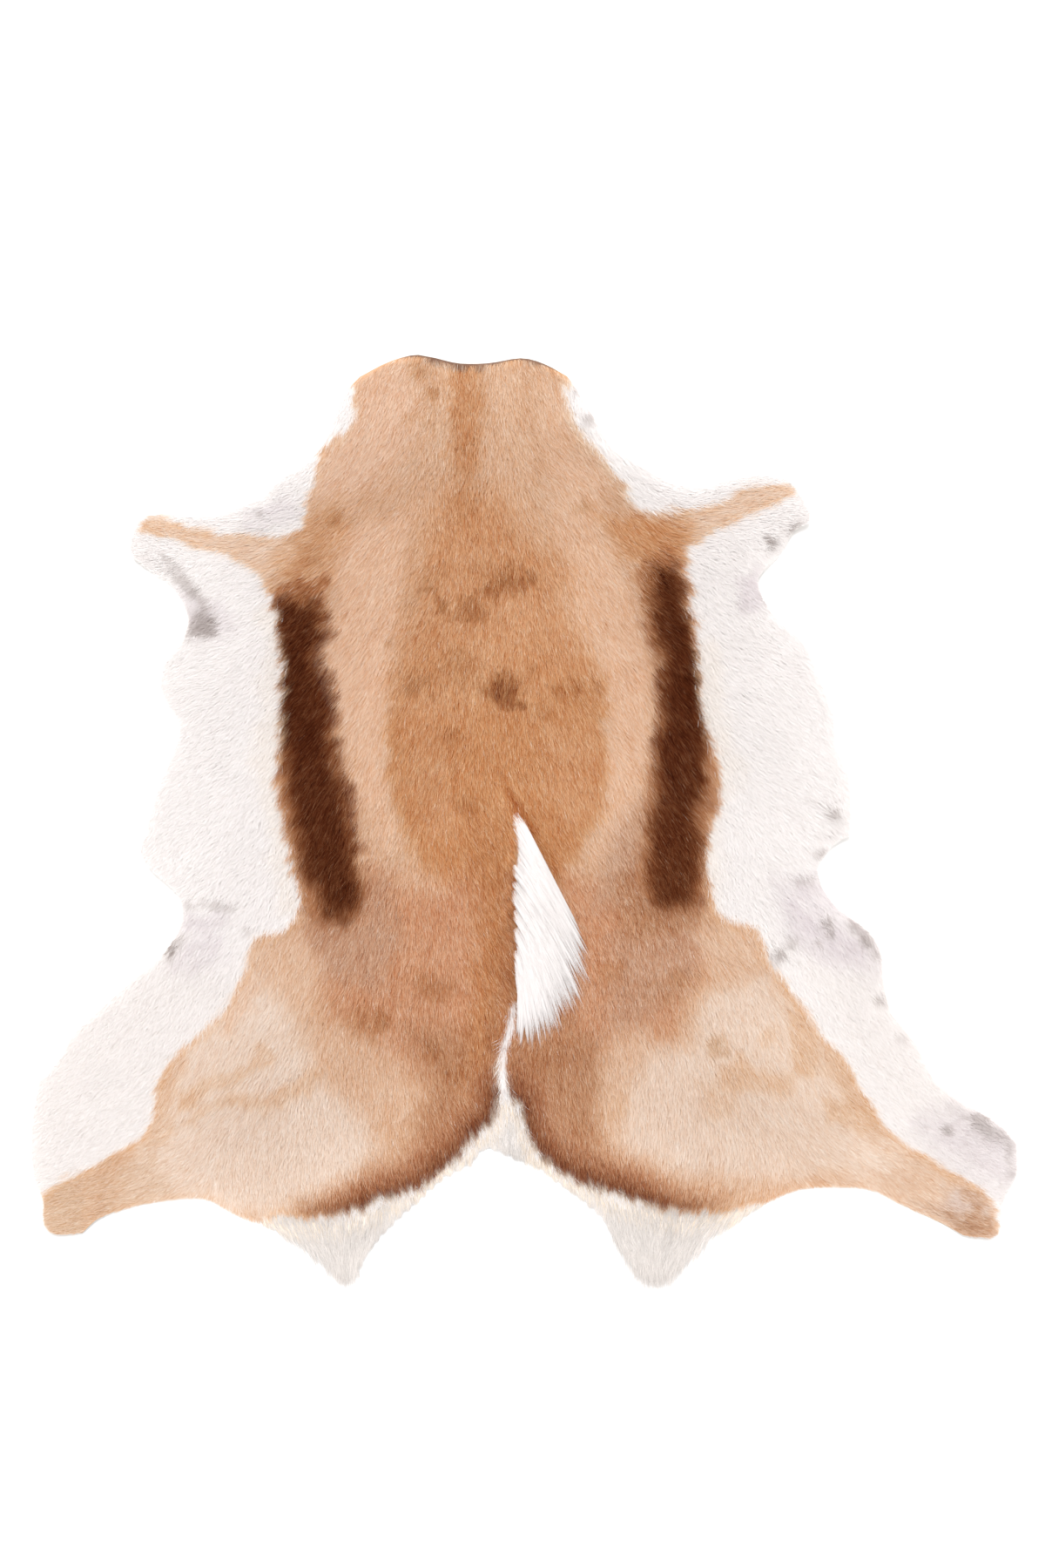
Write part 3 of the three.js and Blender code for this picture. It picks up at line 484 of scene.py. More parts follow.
# Where the rump hair grows and hangs
RUMP_ZONE = [
    (302, 1394), (345, 1398), (385, 1395), (420, 1385), (440, 1378), (462, 1372), (483, 1365),
    (504, 1348), (525, 1329), (536, 1321), (543, 1310), (552, 1299), (565, 1288), (572, 1273),
    (576, 1256), (580, 1256), (584, 1262), (592, 1269), (595, 1282), (599, 1293), (604, 1305),
    (610, 1317), (619, 1327), (633, 1340), (648, 1350), (664, 1357), (680, 1362), (690, 1367),
    (705, 1369), (715, 1372), (725, 1377), (740, 1380), (752, 1383), (765, 1388), (800, 1390),
    (830, 1389), (850, 1384), (876, 1378),
    (880, 1500), (300, 1500),
]

# The crest: its hair grows along the fold and ends along the ragged edge.
CREST_ROOTS = [(590, 934), (591, 965), (589, 1000), (588, 1030), (590, 1060), (591, 1090), (590, 1128)]
CREST_TIPS = [
    (664, 1062), (672, 1080), (678, 1098), (681, 1116), (680, 1134), (672, 1154), (660, 1172),
    (648, 1186), (634, 1196), (619, 1203), (605, 1205), (592, 1206),
]
# Under the crest the short coat is white too, but not below its ragged end.
CREST_AREA = [
    (600, 968), (614, 996), (638, 1042), (652, 1075), (652, 1092), (640, 1108), (626, 1122),
    (612, 1132), (600, 1138), (600, 1120), (604, 1090), (604, 1060), (601, 1029), (603, 1000),
]
# White hair in the slit below the crest
SLIT_WHITE = [
    (593, 1150), (590, 1182), (582, 1203), (580, 1222), (581, 1254), (574, 1254), (574, 1222),
    (575, 1202), (582, 1180), (588, 1150),
]


# Places and colours

def on_pelt(pixels):
    """Places in the photograph as millimetres on the pelt."""
    places = np.array(pixels, float)
    return (places - PHOTO_ORIGIN) * (PHOTO_SCALE, -PHOTO_SCALE)


def linear(code):
    """A colour that is written as it looks, as the light that a material needs."""
    looks = np.array([int(code[i:i + 2], 16) for i in (1, 3, 5)]) / 255
    return np.where(looks < 0.04045, looks / 12.92, ((looks + 0.055) / 1.055) ** 2.4)


def deeper(colour, amount):
    """A hair colour made darker and fuller by an amount above 0, or paler by one below 0."""
    return np.clip(colour, 0, 1) ** (1 + amount)


def blend(base, colour, share):
    """Two hair colours mixed as pigments are, which keeps the tones between them full."""
    share = share[..., None]
    return base ** (1 - share) * colour ** share


def smooth(value, low, high):
    """A share that grows gently from 0 at low to 1 at high."""
    share = np.clip((value - low) / (high - low), 0, 1)
    return share * share * (3 - 2 * share)


# Grid fields

XS = np.arange(-HALF_X, HALF_X + PITCH / 2, PITCH)
YS = np.arange(-HALF_Y, HALF_Y + PITCH / 2, PITCH)
X, Y = np.meshgrid(XS, YS)


def sample(field, x, y):
    """The value of a field at each place, between its four nearest grid points."""
    column = np.clip((x + HALF_X) / PITCH, 0, field.shape[1] - 1.001)
    row = np.clip((y + HALF_Y) / PITCH, 0, field.shape[0] - 1.001)
    i, j = column.astype(int), row.astype(int)
    u, v = column - i, row - j
    if field.ndim == 3:
        u, v = u[..., None], v[..., None]
    near = field[j, i] * (1 - u) + field[j, i + 1] * u
    far = field[j + 1, i] * (1 - u) + field[j + 1, i + 1] * u
    return near * (1 - v) + far * v


def depth_in(polygon, x, y):
    """How deep each place lies inside a polygon, and less than 0 outside it."""
    least = np.full(x.shape, np.inf)
    within = np.zeros(x.shape, bool)
    for (ax, ay), (bx, by) in zip(polygon, np.roll(polygon, -1, 0)):
        dx, dy = bx - ax, by - ay
        share = np.clip(((x - ax) * dx + (y - ay) * dy) / max(dx * dx + dy * dy, 1e-9), 0, 1)
        least = np.minimum(least, (x - ax - share * dx) ** 2 + (y - ay - share * dy) ** 2)
        crosses = (ay > y) != (by > y)
        if ay != by:
            within ^= crosses & (x < ax + (y - ay) / (by - ay) * dx)
    return np.where(within, 1, -1) * np.sqrt(least)


def cloud(size, seed):
    """Soft noise from about -1 to 1, whose spots are about as large as size."""
    random = np.random.default_rng(SEED + seed)
    rows = int(2 * HALF_Y / size) + 3
    columns = int(2 * HALF_X / size) + 3
    knots = random.normal(0, 0.6, (rows, columns))
    column, row = (X + HALF_X) / size, (Y + HALF_Y) / size
    i, j = column.astype(int), row.astype(int)
    u, v = smooth(column - i, 0, 1), smooth(row - j, 0, 1)
    near = knots[j, i] * (1 - u) + knots[j, i + 1] * u
    far = knots[j + 1, i] * (1 - u) + knots[j + 1, i + 1] * u
    return np.clip(near * (1 - v) + far * v, -1, 1)


def cast(tree, down):
    """Where a ray straight down, or straight up, first meets the frame's solid, in millimetres."""
    heights = np.full(X.shape, np.nan)
    way = Vector((0, 0, -1 if down else 1))
    start = 1.0 if down else -1.0
    for j, y in enumerate(YS):
        for i, x in enumerate(XS):
            hit = tree.ray_cast(Vector((x * MM, y * MM, start)), way)[0]
            if hit is not None:
                heights[j, i] = hit.z / MM
    return heights


def spread(field, rounds):
    """Fills the places outside the pelt from their neighbours, a ring at a time."""
    field = field.copy()
    for _ in range(rounds):
        total = np.zeros(field.shape)
        count = np.zeros(field.shape)
        for axis in (0, 1):
            for step in (-1, 1):
                near = np.roll(field, step, axis)
                known = ~np.isnan(near)
                total[known] += near[known]
                count[known] += 1
        fill = np.isnan(field) & (count > 0)
        field[fill] = total[fill] / count[fill]
    return np.nan_to_num(field)


def clouds(waves):
    return sum(amount * cloud(size, seed) for amount, size, seed in waves)


def lie_field():
    """The way the hair lies at each grid point, as a unit vector."""
    places = on_pelt([row[:2] for row in LIE])
    ways = np.array([(row[2], -row[3]) for row in LIE], float)
    ways /= np.linalg.norm(ways, axis=1, keepdims=True)
    total = np.zeros(X.shape + (2,))
    for (x, y), way in zip(places, ways):
        weight = 1 / ((X - x) ** 2 + (Y - y) ** 2 + LIE_REACH ** 2) ** LIE_FALL
        total += weight[..., None] * way
    turn = np.arctan2(total[..., 1], total[..., 0])
    turn += clouds(LIE_WAVES)
    return np.stack([np.cos(turn), np.sin(turn)], -1)


def combed(noise, lie, steps, step):
    """Noise drawn out along the lie of the hair, with an even spread."""
    total = noise.copy()
    for way in (-1, 1):
        x, y = X.copy(), Y.copy()
        for _ in range(steps):
            here = sample(lie, x, y)
            x += way * step * here[..., 0]
            y += way * step * here[..., 1]
            total += sample(noise, x, y)
    return np.clip((total - total.mean()) / total.std() / 2, -1.2, 1.2)


# Colour of the coat

def window(area, margin):
    """The rows and columns of the grid that hold a polygon and a margin about it."""
    low, high = area.min(0) - margin, area.max(0) + margin
    rows = np.searchsorted(YS, (low[1], high[1]))
    columns = np.searchsorted(XS, (low[0], high[0]))
    return slice(*rows), slice(*columns)


def down_the_photo(part, rows, wander):
    """A share that grows from 0 at the first row of the photograph to 1 at the second."""
    start, full = (on_pelt((0, row))[1] for row in rows)
    return smooth(WANDER_MOST * wander[part] - Y[part], -start, -full)


def paint(colour, patches, wander, spikes):
    """Lays the patches over a colour field, one after the other."""
    for layer in patches.values():
        area = on_pelt(layer["area"])
        soft = layer["soft"] * PHOTO_SCALE
        part = window(area, soft + WANDER_MOST)
        depth = depth_in(area, X[part], Y[part]) - layer.get("inset", 0) * PHOTO_SCALE
        depth += wander[part] * min(soft, WANDER_MOST) + layer.get("ragged", 0) * spikes[part]
        share = layer["share"] * smooth(depth, -soft / 2, soft / 2)
        if "comes_in" in layer:
            share *= down_the_photo(part, layer["comes_in"], wander)
        if "broken" in layer:
            share *= 1 - layer["broken"] * smooth(wander[part] + 0.7 * spikes[part], -0.5, 0.5)
        colour[part] = blend(colour[part], linear(layer["colour"]), share)


def dab(colour, spots, code, wander, spikes):
    """Lays small spots of one colour over a colour field."""
    for x, y, radius, share in spots:
        middle = on_pelt((x, y))
        radius *= PHOTO_SCALE
        part = window(middle[None], 3 * radius)
        away = np.hypot(X[part] - middle[0], Y[part] - middle[1]) / radius
        amount = share * (1 - smooth(away * (1 + wander[part]) + 0.2 * spikes[part], 0, 1.4))
        colour[part] = blend(colour[part], linear(code), amount)


def paint_ring(colour, away, spikes):
    """The brown that darkens towards the rump hair. away is the distance from that hair."""
    start, full, wanes, end = (on_pelt((x, 0))[0] for x in RING_COLUMNS)
    strength = smooth(X, start, full) * (1 - smooth(X, wanes, end))
    for code, share, near, far in RING_TONES:
        near, far = near * PHOTO_SCALE, far * PHOTO_SCALE
        amount = share * strength * (1 - smooth(away - 2 * spikes, near, far * (0.6 + 0.4 * strength)))
        colour[:] = blend(colour, linear(code), amount)
    return strength


def white_colours(wander, streaks, spikes):
    """The white of the belly and the legs, with its thin and grey places."""
    belly = np.ones(X.shape + (3,)) * linear(WHITE)
    paint(belly, THIN_PATCHES, 1.2 * wander, spikes)
    dab(belly, SPECKS, BARE_SKIN_AND_SHADOW_GREY, wander, spikes)
    return belly * (1 + WHITE_GRAIN * streaks + WHITE_GRAIN * cloud(40, 35))[..., None]


def coat_colours(lie):
    """The hair at each grid point: its colour, its tips, how much is white and dark, the spikes."""
    wander = clouds(BORDER_WAVES)
    streaks = combed(np.random.default_rng(SEED + 3).normal(0, 1, X.shape), lie, steps=4, step=1.6)
    spikes = combed(cloud(2.6, 36), lie, steps=8, step=1.6)
    stripes = np.maximum(*[depth_in(on_pelt(area), X, Y) for area in (LEFT_STRIPE, RIGHT_STRIPE)])
    dark = smooth(stripes + spikes, -STRIPE_FADE, STRIPE_FADE)
    rump = depth_in(on_pelt(RUMP_ZONE), X, Y)
    coat = np.zeros(X.shape + (3,))
    paint(coat, COAT_PATCHES, wander, spikes)
    dab(coat, SMUDGES, SMUDGE, wander, spikes)
    ring = paint_ring(coat, -rump, spikes)
    belly = white_colours(wander, streaks, spikes)
    by_dark = smooth(stripes, *BY_STRIPE)
    edge = depth_in(on_pelt(COLOURED_COAT), X, Y) + 1.2 * wander + 0.6 * streaks
    edge += (EDGE_TEETH + DARK_TEETH * np.maximum(ring, by_dark)) * spikes
    grain = GRAIN["streaks"] * streaks + GRAIN["spikes"] * spikes + GRAIN["clouds"] * cloud(30, 34)
    coat = deeper(coat, -grain[..., None])
    pale_side = 1 - np.maximum(ring, by_dark)
    fringe = linear(GOLDEN) * np.ones(coat.shape)
    coat += (fringe - coat) * (GOLDEN_SHARE * pale_side * (1 - smooth(edge, 0, GOLDEN_WIDE)))[..., None]
    fringe += (linear(CREAM) - fringe) * ring[..., None]
    fringe += (linear(STRIPE_TIPS) - fringe) * by_dark[..., None]
    at_edge = (0.9 - 0.45 * pale_side) * (1 - smooth(edge, 1, 9 - 2 * by_dark))
    tips = coat + (fringe - coat) * at_edge[..., None]
    soft_edge = 0.6 + 2.3 * pale_side
    white = 1 - smooth(edge / soft_edge, -1, 1)
    under_crest = depth_in(on_pelt(CREST_AREA), X, Y) + 1.5 * spikes
    for inside in (under_crest, depth_in(on_pelt(SLIT_WHITE), X, Y)):
        white = np.maximum(white, smooth(inside, -1.5, 1.5))
    colour = coat + (belly - coat) * white[..., None]
    tips += (belly - tips) * white[..., None]
    return colour, tips, white, dark * (1 - white), spikes


# The frame's own shape

def rim_of(hide):
    """The rim of the pelt's underside, anticlockwise seen from above, in millimetres."""
    corners = [tuple(round(c, 6) for c in v.co) for v in hide.data.vertices]
    sides = set()
    for face in hide.data.polygons:
        if face.normal.z < UNDERSIDE_NORMAL:
            turn = [corners[i] for i in face.vertices]
            sides.update(zip(turn, turn[1:] + turn[:1]))
    after = {b: a for a, b in sides if (b, a) not in sides}
    start = next(iter(sorted(after)))
    loop = [start]
    while after[loop[-1]] != start:
        loop.append(after[loop[-1]])
    return np.array(loop)[:, :2] / MM


def evenly(points, step):
    """Places along a line, about a step apart, with both of its ends."""
    lengths = np.r_[0, np.cumsum(np.hypot(*np.diff(points, axis=0).T))]
    at = np.linspace(0, lengths[-1], max(2, int(round(lengths[-1] / step)) + 1))
    return np.stack([np.interp(at, lengths, points[:, k]) for k in (0, 1)], 1)


def skin_outline(rim):
    """The skin's cut edge: the rim, but drawn in under the rump hair."""
    rump = evenly(on_pelt(RUMP_SKIN_EDGE), 6)
    start = np.argmin(np.hypot(*(rim - rump[0]).T))
    end = np.argmin(np.hypot(*(rim - rump[-1]).T))
    loop = np.roll(rim, -end, 0)[: (start - end) % len(rim)]
    along = np.roll(loop, -1, 0) - np.roll(loop, 1, 0)
    along /= np.linalg.norm(along, axis=1, keepdims=True)
    loop = loop + SKIN_INSET * np.stack([-along[:, 1], along[:, 0]], 1)
    return np.vstack([loop[1:-1], rump])


# Meshes

def new_mesh(name, points, triangles, colours, uv, materials, material_numbers=None):
    """points in millimetres, triangles of point numbers, a colour a point and a uv a corner."""
    mesh = bpy.data.meshes.new(name)
    mesh.vertices.add(len(points))
    mesh.vertices.foreach_set("co", (points * MM).astype(np.float32).ravel())
    mesh.loops.add(triangles.size)
    mesh.loops.foreach_set("vertex_index", triangles.astype(np.int32).ravel())
    mesh.polygons.add(len(triangles))
    mesh.polygons.foreach_set("loop_start", np.arange(0, triangles.size, 3, dtype=np.int32))
    for material in materials:
        mesh.materials.append(material)
    if material_numbers is not None:
        mesh.polygons.foreach_set("material_index", material_numbers.astype(np.int32))
    attribute = mesh.color_attributes.new(name="coat", type="FLOAT_COLOR", domain="POINT")
    rgba = np.ones((len(points), 4), np.float32)
    rgba[:, :3] = colours
    attribute.data.foreach_set("color", rgba.ravel())
    layer = mesh.uv_layers.new(name="OFBake")
    layer.data.foreach_set("uv", uv.astype(np.float32).ravel())
    mesh.update(calc_edges=True)
    piece = bpy.data.objects.new(name, mesh)
    bpy.context.scene.collection.objects.link(piece)
    return piece


def doubled_areas(a, b, c):
    """Twice the area of each triangle, and less than 0 where its corners run clockwise."""
    return (b - a)[:, 0] * (c - a)[:, 1] - (b - a)[:, 1] * (c - a)[:, 0]


def skin_piece(outline, low, colour, materials):
    """A closed sheet with the outline's cut, on the frame's underside, hair side up."""
    step = SKIN_PITCH * np.sqrt(3) / 2
    rows = np.arange(-HALF_Y, HALF_Y, step)
    x = np.arange(-HALF_X, HALF_X, SKIN_PITCH)[None] + (np.arange(len(rows)) % 2)[:, None] * SKIN_PITCH / 2
    y = np.repeat(rows[:, None], x.shape[1], 1)
    inner = np.stack([x.ravel(), y.ravel()], 1)
    inner = inner[depth_in(outline, inner[:, 0], inner[:, 1]) > SKIN_CLEAR]
    flat = np.vstack([outline, inner])
    ring = list(range(len(outline)))
    found = delaunay_2d_cdt([Vector(p) for p in flat], [], [ring], 1, 1e-5)
    flat = np.array([(p.x, p.y) for p in found[0]])
    faces = np.array([face for face in found[2] if len(face) == 3])
    a, b, c = (flat[faces[:, k]] for k in range(3))
    turned = doubled_areas(a, b, c) < 0
    faces[turned] = faces[turned][:, ::-1]
    count = len(flat)
    floor = sample(low, flat[:, 0], flat[:, 1])
    under = np.column_stack([flat, floor])
    upper = np.column_stack([flat, floor + SKIN_THICKNESS])
    sides = {(f[k], f[(k + 1) % 3]) for f in faces.tolist() for k in range(3)}
    edge = np.array([side for side in sorted(sides) if side[::-1] not in sides])
    wall = np.vstack([
        np.column_stack([edge[:, 1], edge[:, 0], edge[:, 0] + count]),
        np.column_stack([edge[:, 1], edge[:, 0] + count, edge[:, 1] + count]),
    ])
    triangles = np.vstack([faces, faces[:, ::-1] + count, wall])
    points = np.vstack([upper, under])
    # The skin's top takes the hair colour painted deeper, as shade beneath the coat
    shaded_skin = deeper(sample(colour, flat[:, 0], flat[:, 1]), SKIN_SHADE)
    colours = np.vstack([shaded_skin, np.ones((count, 3)) * linear(SUEDE)])
    flesh = np.r_[np.zeros(len(faces)), np.ones(len(triangles) - len(faces))]
    place = (points[triangles][:, :, :2] + (HALF_X, HALF_Y)) / (2 * HALF_X, 2 * HALF_Y)
    place[:, :, 0] = (place[:, :, 0] + flesh[:, None]) / 2
    piece = new_mesh("skin", points, triangles, colours, place, materials, flesh)
    area = 0.5 * np.abs(doubled_areas(a, b, c)).sum()
    return piece, area


def hair_piece(name, paths, widths, colours, tips, material, random):
    """Flat tapering hairs, coloured from root to tip. paths holds each hair's places from root to tip."""
    count, stations, _ = paths.shape
    along = paths[:, -1, :2] - paths[:, 0, :2]
    along /= np.maximum(np.linalg.norm(along, axis=1, keepdims=True), 1e-6)
    roll = random.normal(0, HAIR_ROLL, count)
    across = np.column_stack([-along[:, 1] * np.cos(roll), along[:, 0] * np.cos(roll), np.sin(roll)])
    body = stations - 1
    taper = 1 - HAIR_TAPER * (np.arange(body) / body) ** 1.5
    half = across[:, None] * (widths[:, None] * taper / 2)[..., None]
    points = np.empty((count, 2 * body + 1, 3))
    points[:, 0:2 * body:2] = paths[:, :-1] + half
    points[:, 1:2 * body:2] = paths[:, :-1] - half
    points[:, -1] = paths[:, -1]
    one = []
    for k in range(body - 1):
        one += [(2 * k, 2 * k + 1, 2 * k + 3), (2 * k, 2 * k + 3, 2 * k + 2)]
    one.append((2 * body - 2, 2 * body - 1, 2 * body))
    each = 2 * body + 1
    triangles = (np.array(one)[None] + (np.arange(count) * each)[:, None, None]).reshape(-1, 3)
    root = (paths[:, 0, :2] + (HALF_X, HALF_Y)) / (2 * HALF_X, 2 * HALF_Y)
    corner = np.array([(0, 0), (1, 0), (0, 1)]) * HAIR_UV
    uv = np.repeat(root, len(one), 0)[:, None] + corner[None]
    share = (np.arange(each) // 2 / body)[:, None]
    tones = np.clip(colours[:, None] + (tips - colours)[:, None] * share, 0, 1).reshape(-1, 3)
    return new_mesh(name, points.reshape(-1, 3), triangles, tones, uv, [material])


# Materials

def principled(name, roughness, sheen, shine=0.25):
    material = bpy.data.materials.new(name)
    material.use_nodes = True
    shader = material.node_tree.nodes["Principled BSDF"]
    shader.inputs["Roughness"].default_value = roughness
    shader.inputs["Specular IOR Level"].default_value = shine
    shader.inputs["Sheen Weight"].default_value = sheen
    shader.inputs["Sheen Roughness"].default_value = 0.5
    return material, shader


def hair_material(name, roughness, sheen, shine=0.25):
    material, shader = principled(name, roughness, sheen, shine)
    nodes, links = material.node_tree.nodes, material.node_tree.links
    colour = nodes.new("ShaderNodeAttribute")
    colour.attribute_name = "coat"
    links.new(colour.outputs["Color"], shader.inputs["Base Color"])
    return material


def suede_material():
    """The flesh side: buffed, with cloudy tone and a fine nap."""
    material, shader = principled("suede", roughness=0.92, sheen=0.15)
    nodes, links = material.node_tree.nodes, material.node_tree.links
    where = nodes.new("ShaderNodeTexCoord")
    patches = nodes.new("ShaderNodeTexNoise")
    patches.inputs["Scale"].default_value = SUEDE_CLOUDS
    patches.inputs["Detail"].default_value = 6
    tone = nodes.new("ShaderNodeValToRGB")
    tone.color_ramp.elements[0].position = 0.3
    tone.color_ramp.elements[0].color = (*linear(SUEDE_DEEP), 1)
    tone.color_ramp.elements[1].position = 0.7
    tone.color_ramp.elements[1].color = (*linear(SUEDE_PALE), 1)
    nap = nodes.new("ShaderNodeTexNoise")
    nap.inputs["Scale"].default_value = SUEDE_NAP
    bump = nodes.new("ShaderNodeBump")
    bump.inputs["Strength"].default_value = 0.25
    bump.inputs["Distance"].default_value = 0.0006
    links.new(where.outputs["Object"], patches.inputs["Vector"])
    links.new(where.outputs["Object"], nap.inputs["Vector"])
    links.new(patches.outputs["Fac"], tone.inputs["Fac"])
    links.new(tone.outputs["Color"], shader.inputs["Base Color"])
    links.new(nap.outputs["Fac"], bump.inputs["Height"])
    links.new(bump.outputs["Normal"], shader.inputs["Normal"])
    return material


# Hair

class Pelt:
    """The fields that every kind of hair is laid by."""

    def __init__(self, hide):
        tree = BVHTree.FromPolygons(
            [v.co for v in hide.data.vertices], [tuple(p.vertices) for p in hide.data.polygons])
        top, low = cast(tree, True), cast(tree, False)
        self.rim = rim_of(hide)
        self.outline = skin_outline(self.rim)
        self.top = spread(top, SPREAD_RINGS)
        self.low = spread(low, SPREAD_RINGS)
        self.room = depth_in(self.rim, X, Y)
        self.on_skin = depth_in(self.outline, X, Y)
        self.lie = lie_field()
        self.colour, self.tips, self.white, self.dark, self.spikes = coat_colours(self.lie)
        self.rump = depth_in(on_pelt(RUMP_ZONE), X, Y)

    def roots(self, spacing, random):
        """Stirred rows of places on the skin."""
        x, y = np.meshgrid(np.arange(-HALF_X, HALF_X, spacing), np.arange(-HALF_Y, HALF_Y, spacing))
        x = (x + random.uniform(-0.5, 0.5, x.shape) * spacing).ravel()
        y = (y + random.uniform(-0.5, 0.5, y.shape) * spacing).ravel()
        keep = sample(self.on_skin, x, y) > ROOT_CLEAR
        return x[keep], y[keep]

    def path(self, x, y, lengths, turns, share, stations):
        """Hairs that follow the lie from their roots and rise to a share of the pile's height."""
        paths = np.empty((len(x), stations, 3))
        at_x, at_y = x.copy(), y.copy()
        step = lengths / (stations - 1)
        for k in range(stations):
            if k:
                way = sample(self.lie, at_x, at_y)
                at_x = at_x + step * (way[:, 0] * np.cos(turns) - way[:, 1] * np.sin(turns))
                at_y = at_y + step * (way[:, 1] * np.cos(turns) + way[:, 0] * np.sin(turns))
            low = sample(self.low, at_x, at_y) + SKIN_THICKNESS * ROOT_AT
            pile = np.clip(sample(self.top, at_x, at_y) - low, LEAST_PILE, PILE_MOST)
            up = low + pile * share * (k / (stations - 1)) ** RISE
            paths[:, k] = np.column_stack([at_x, at_y, up])
        return paths

    def kept_in(self, x, y, lengths, past, turns):
        """Hair lengths cut back so that no tip lies further past the rim than it may."""
        for _ in range(CUT_ROUNDS):
            tips = self.path(x, y, lengths, turns, np.ones(len(x)), 3)[:, -1]
            too_far = sample(self.room, tips[:, 0], tips[:, 1]) < -past
            lengths = np.where(too_far, lengths * CUT_TO, lengths)
        return lengths


def short_hair(pelt, name, kind, chosen, material, seed, spread_turn=0.16):
    """A piece of short hair, of those hairs whose seen part lies where chosen(x, y, random) says."""
    random = np.random.default_rng(SEED + seed)
    x, y = pelt.roots(kind["spacing"], random)
    way = sample(pelt.lie, x, y)
    seen_x = x + SEEN_AT * kind["length"] * way[:, 0]
    seen_y = y + SEEN_AT * kind["length"] * way[:, 1]
    keep = chosen(seen_x, seen_y, random)
    x, y, seen_x, seen_y = (places[keep] for places in (x, y, seen_x, seen_y))
    count = len(x)
    leg = smooth(np.hypot(x, y), LEG_FROM, LEG_TO)
    lengths = kind["length"] * (1 - LEG_SHORTER * leg) * random.uniform(*SHORT_SIZES, count)
    turns = random.normal(0, spread_turn, count)
    lengths = pelt.kept_in(x, y, lengths, PAST_RIM, turns)
    share = random.uniform(*SHORT_RISE, count)
    paths = pelt.path(x, y, lengths, turns, share, 2)
    depth = random.normal(0, kind["uneven"], (count, 1))
    depth[random.uniform(0, 1, count) < DARKER_HAIRS] += DARKER_BY
    # Each root is painted deeper, as shade down in the coat, and each tip paler, as painted light on top
    root_shade, tip_light = kind["root_shade_tip_light"]
    colours = deeper(sample(pelt.colour, seen_x, seen_y), depth + root_shade)
    tips = deeper(sample(pelt.tips, seen_x, seen_y), depth + tip_light)
    widths = kind["width"] * random.uniform(*SHORT_SIZES, count)
    return hair_piece(name, paths, widths, colours, tips, material, random)


def along(line, share):
    """The places at a share of a line's length."""
    place = share * (len(line) - 1)
    return np.stack([np.interp(place, np.arange(len(line)), line[:, k]) for k in (0, 1)], 1)


def crest_paths(pelt, root, run, bow, to_lock, reach, depth):
    """Hairs that rise from the fold, bow outward and draw together at the ends of their locks."""
    stations = CREST_HAIR["stations"]
    paths = np.empty((len(root), stations, 3))
    for k in range(stations):
        share = k / (stations - 1)
        spot = root + run * share + bow * 4 * share * (1 - share)
        spot = spot + to_lock * ((reach * share) ** 4)[:, None]
        low = sample(pelt.low, spot[:, 0], spot[:, 1]) + SKIN_THICKNESS
        rise = sample(pelt.top, spot[:, 0], spot[:, 1]) - low
        rise = rise * (1 - 0.3 * depth) * min(1, 0.45 + 2.2 * share)
        paths[:, k] = np.column_stack([spot, low + np.maximum(rise, 0.5)])
    return paths


def crest_hair(pelt, material):
    """Long white hair that grows along the fold, falls open as a fan and ends in fine locks."""
    random = np.random.default_rng(SEED + 51)
    count, locks = CREST_HAIR["count"], CREST_HAIR["locks"]
    lock = random.integers(0, locks, count)
    lock_at = np.sort((np.arange(locks) + random.uniform(0, 1, locks)) / locks)
    lock_reach = random.uniform(*CREST_HAIR["reach"], locks)
    lock_reach[lock_at < 0.1] = 0.98
    at = np.clip(lock_at[lock] + random.normal(0, CREST_HAIR["off_lock"], count), 0, 1)
    roots = evenly(on_pelt(CREST_ROOTS), 1)
    tips = evenly(on_pelt(CREST_TIPS), 1)
    notches = CREST_NOTCHES["count"]
    notch = CREST_NOTCHES["depth"] * random.uniform(0, 1, notches) ** 1.5
    root = along(roots, at ** 1.15) + random.normal(0, 0.7, (count, 2))
    root[:, 0] += np.interp(at * (notches - 1), np.arange(notches), notch)
    own_tip = along(tips, at)
    lock_tip = along(tips, lock_at)[lock]
    strays = random.uniform(0, 1, count) < CREST_HAIR["strays"]
    stray_drawn_in = random.uniform(*CREST_HAIR["stray_drawn_in"], count)
    drawn_in = np.where(strays, stray_drawn_in, random.uniform(*CREST_HAIR["drawn_in"], count))
    to_lock = (lock_tip - own_tip) * drawn_in[:, None]
    reach = lock_reach[lock] * (1 - CREST_HAIR["shorter"] * random.uniform(0, 1, count) ** 0.65)
    run = (own_tip - root) * reach[:, None]
    bow = (random.normal(*CREST_HAIR["bow"], count) * smooth(at, 0, 0.4))[:, None]
    bow = bow * np.stack([-run[:, 1], run[:, 0]], 1)
    depth = random.uniform(0, 1, count) ** 1.4
    paths = crest_paths(pelt, root, run, bow, to_lock, reach, depth)
    # Hairs that lie deeper under the others are painted darker, as painted shade between the locks; the
    # tone also differs at random
    tone = 1 - 0.05 * depth + random.normal(0, 0.025, count)
    colours = linear(CREST_WHITE) * tone[:, None]
    widths = CREST_HAIR["width"] * random.uniform(*LONG_WIDTHS, count)
    # The tips are painted darker, as shade at the ragged end of the crest
    return hair_piece("crest", paths, widths, colours, 0.93 * colours, material, random)


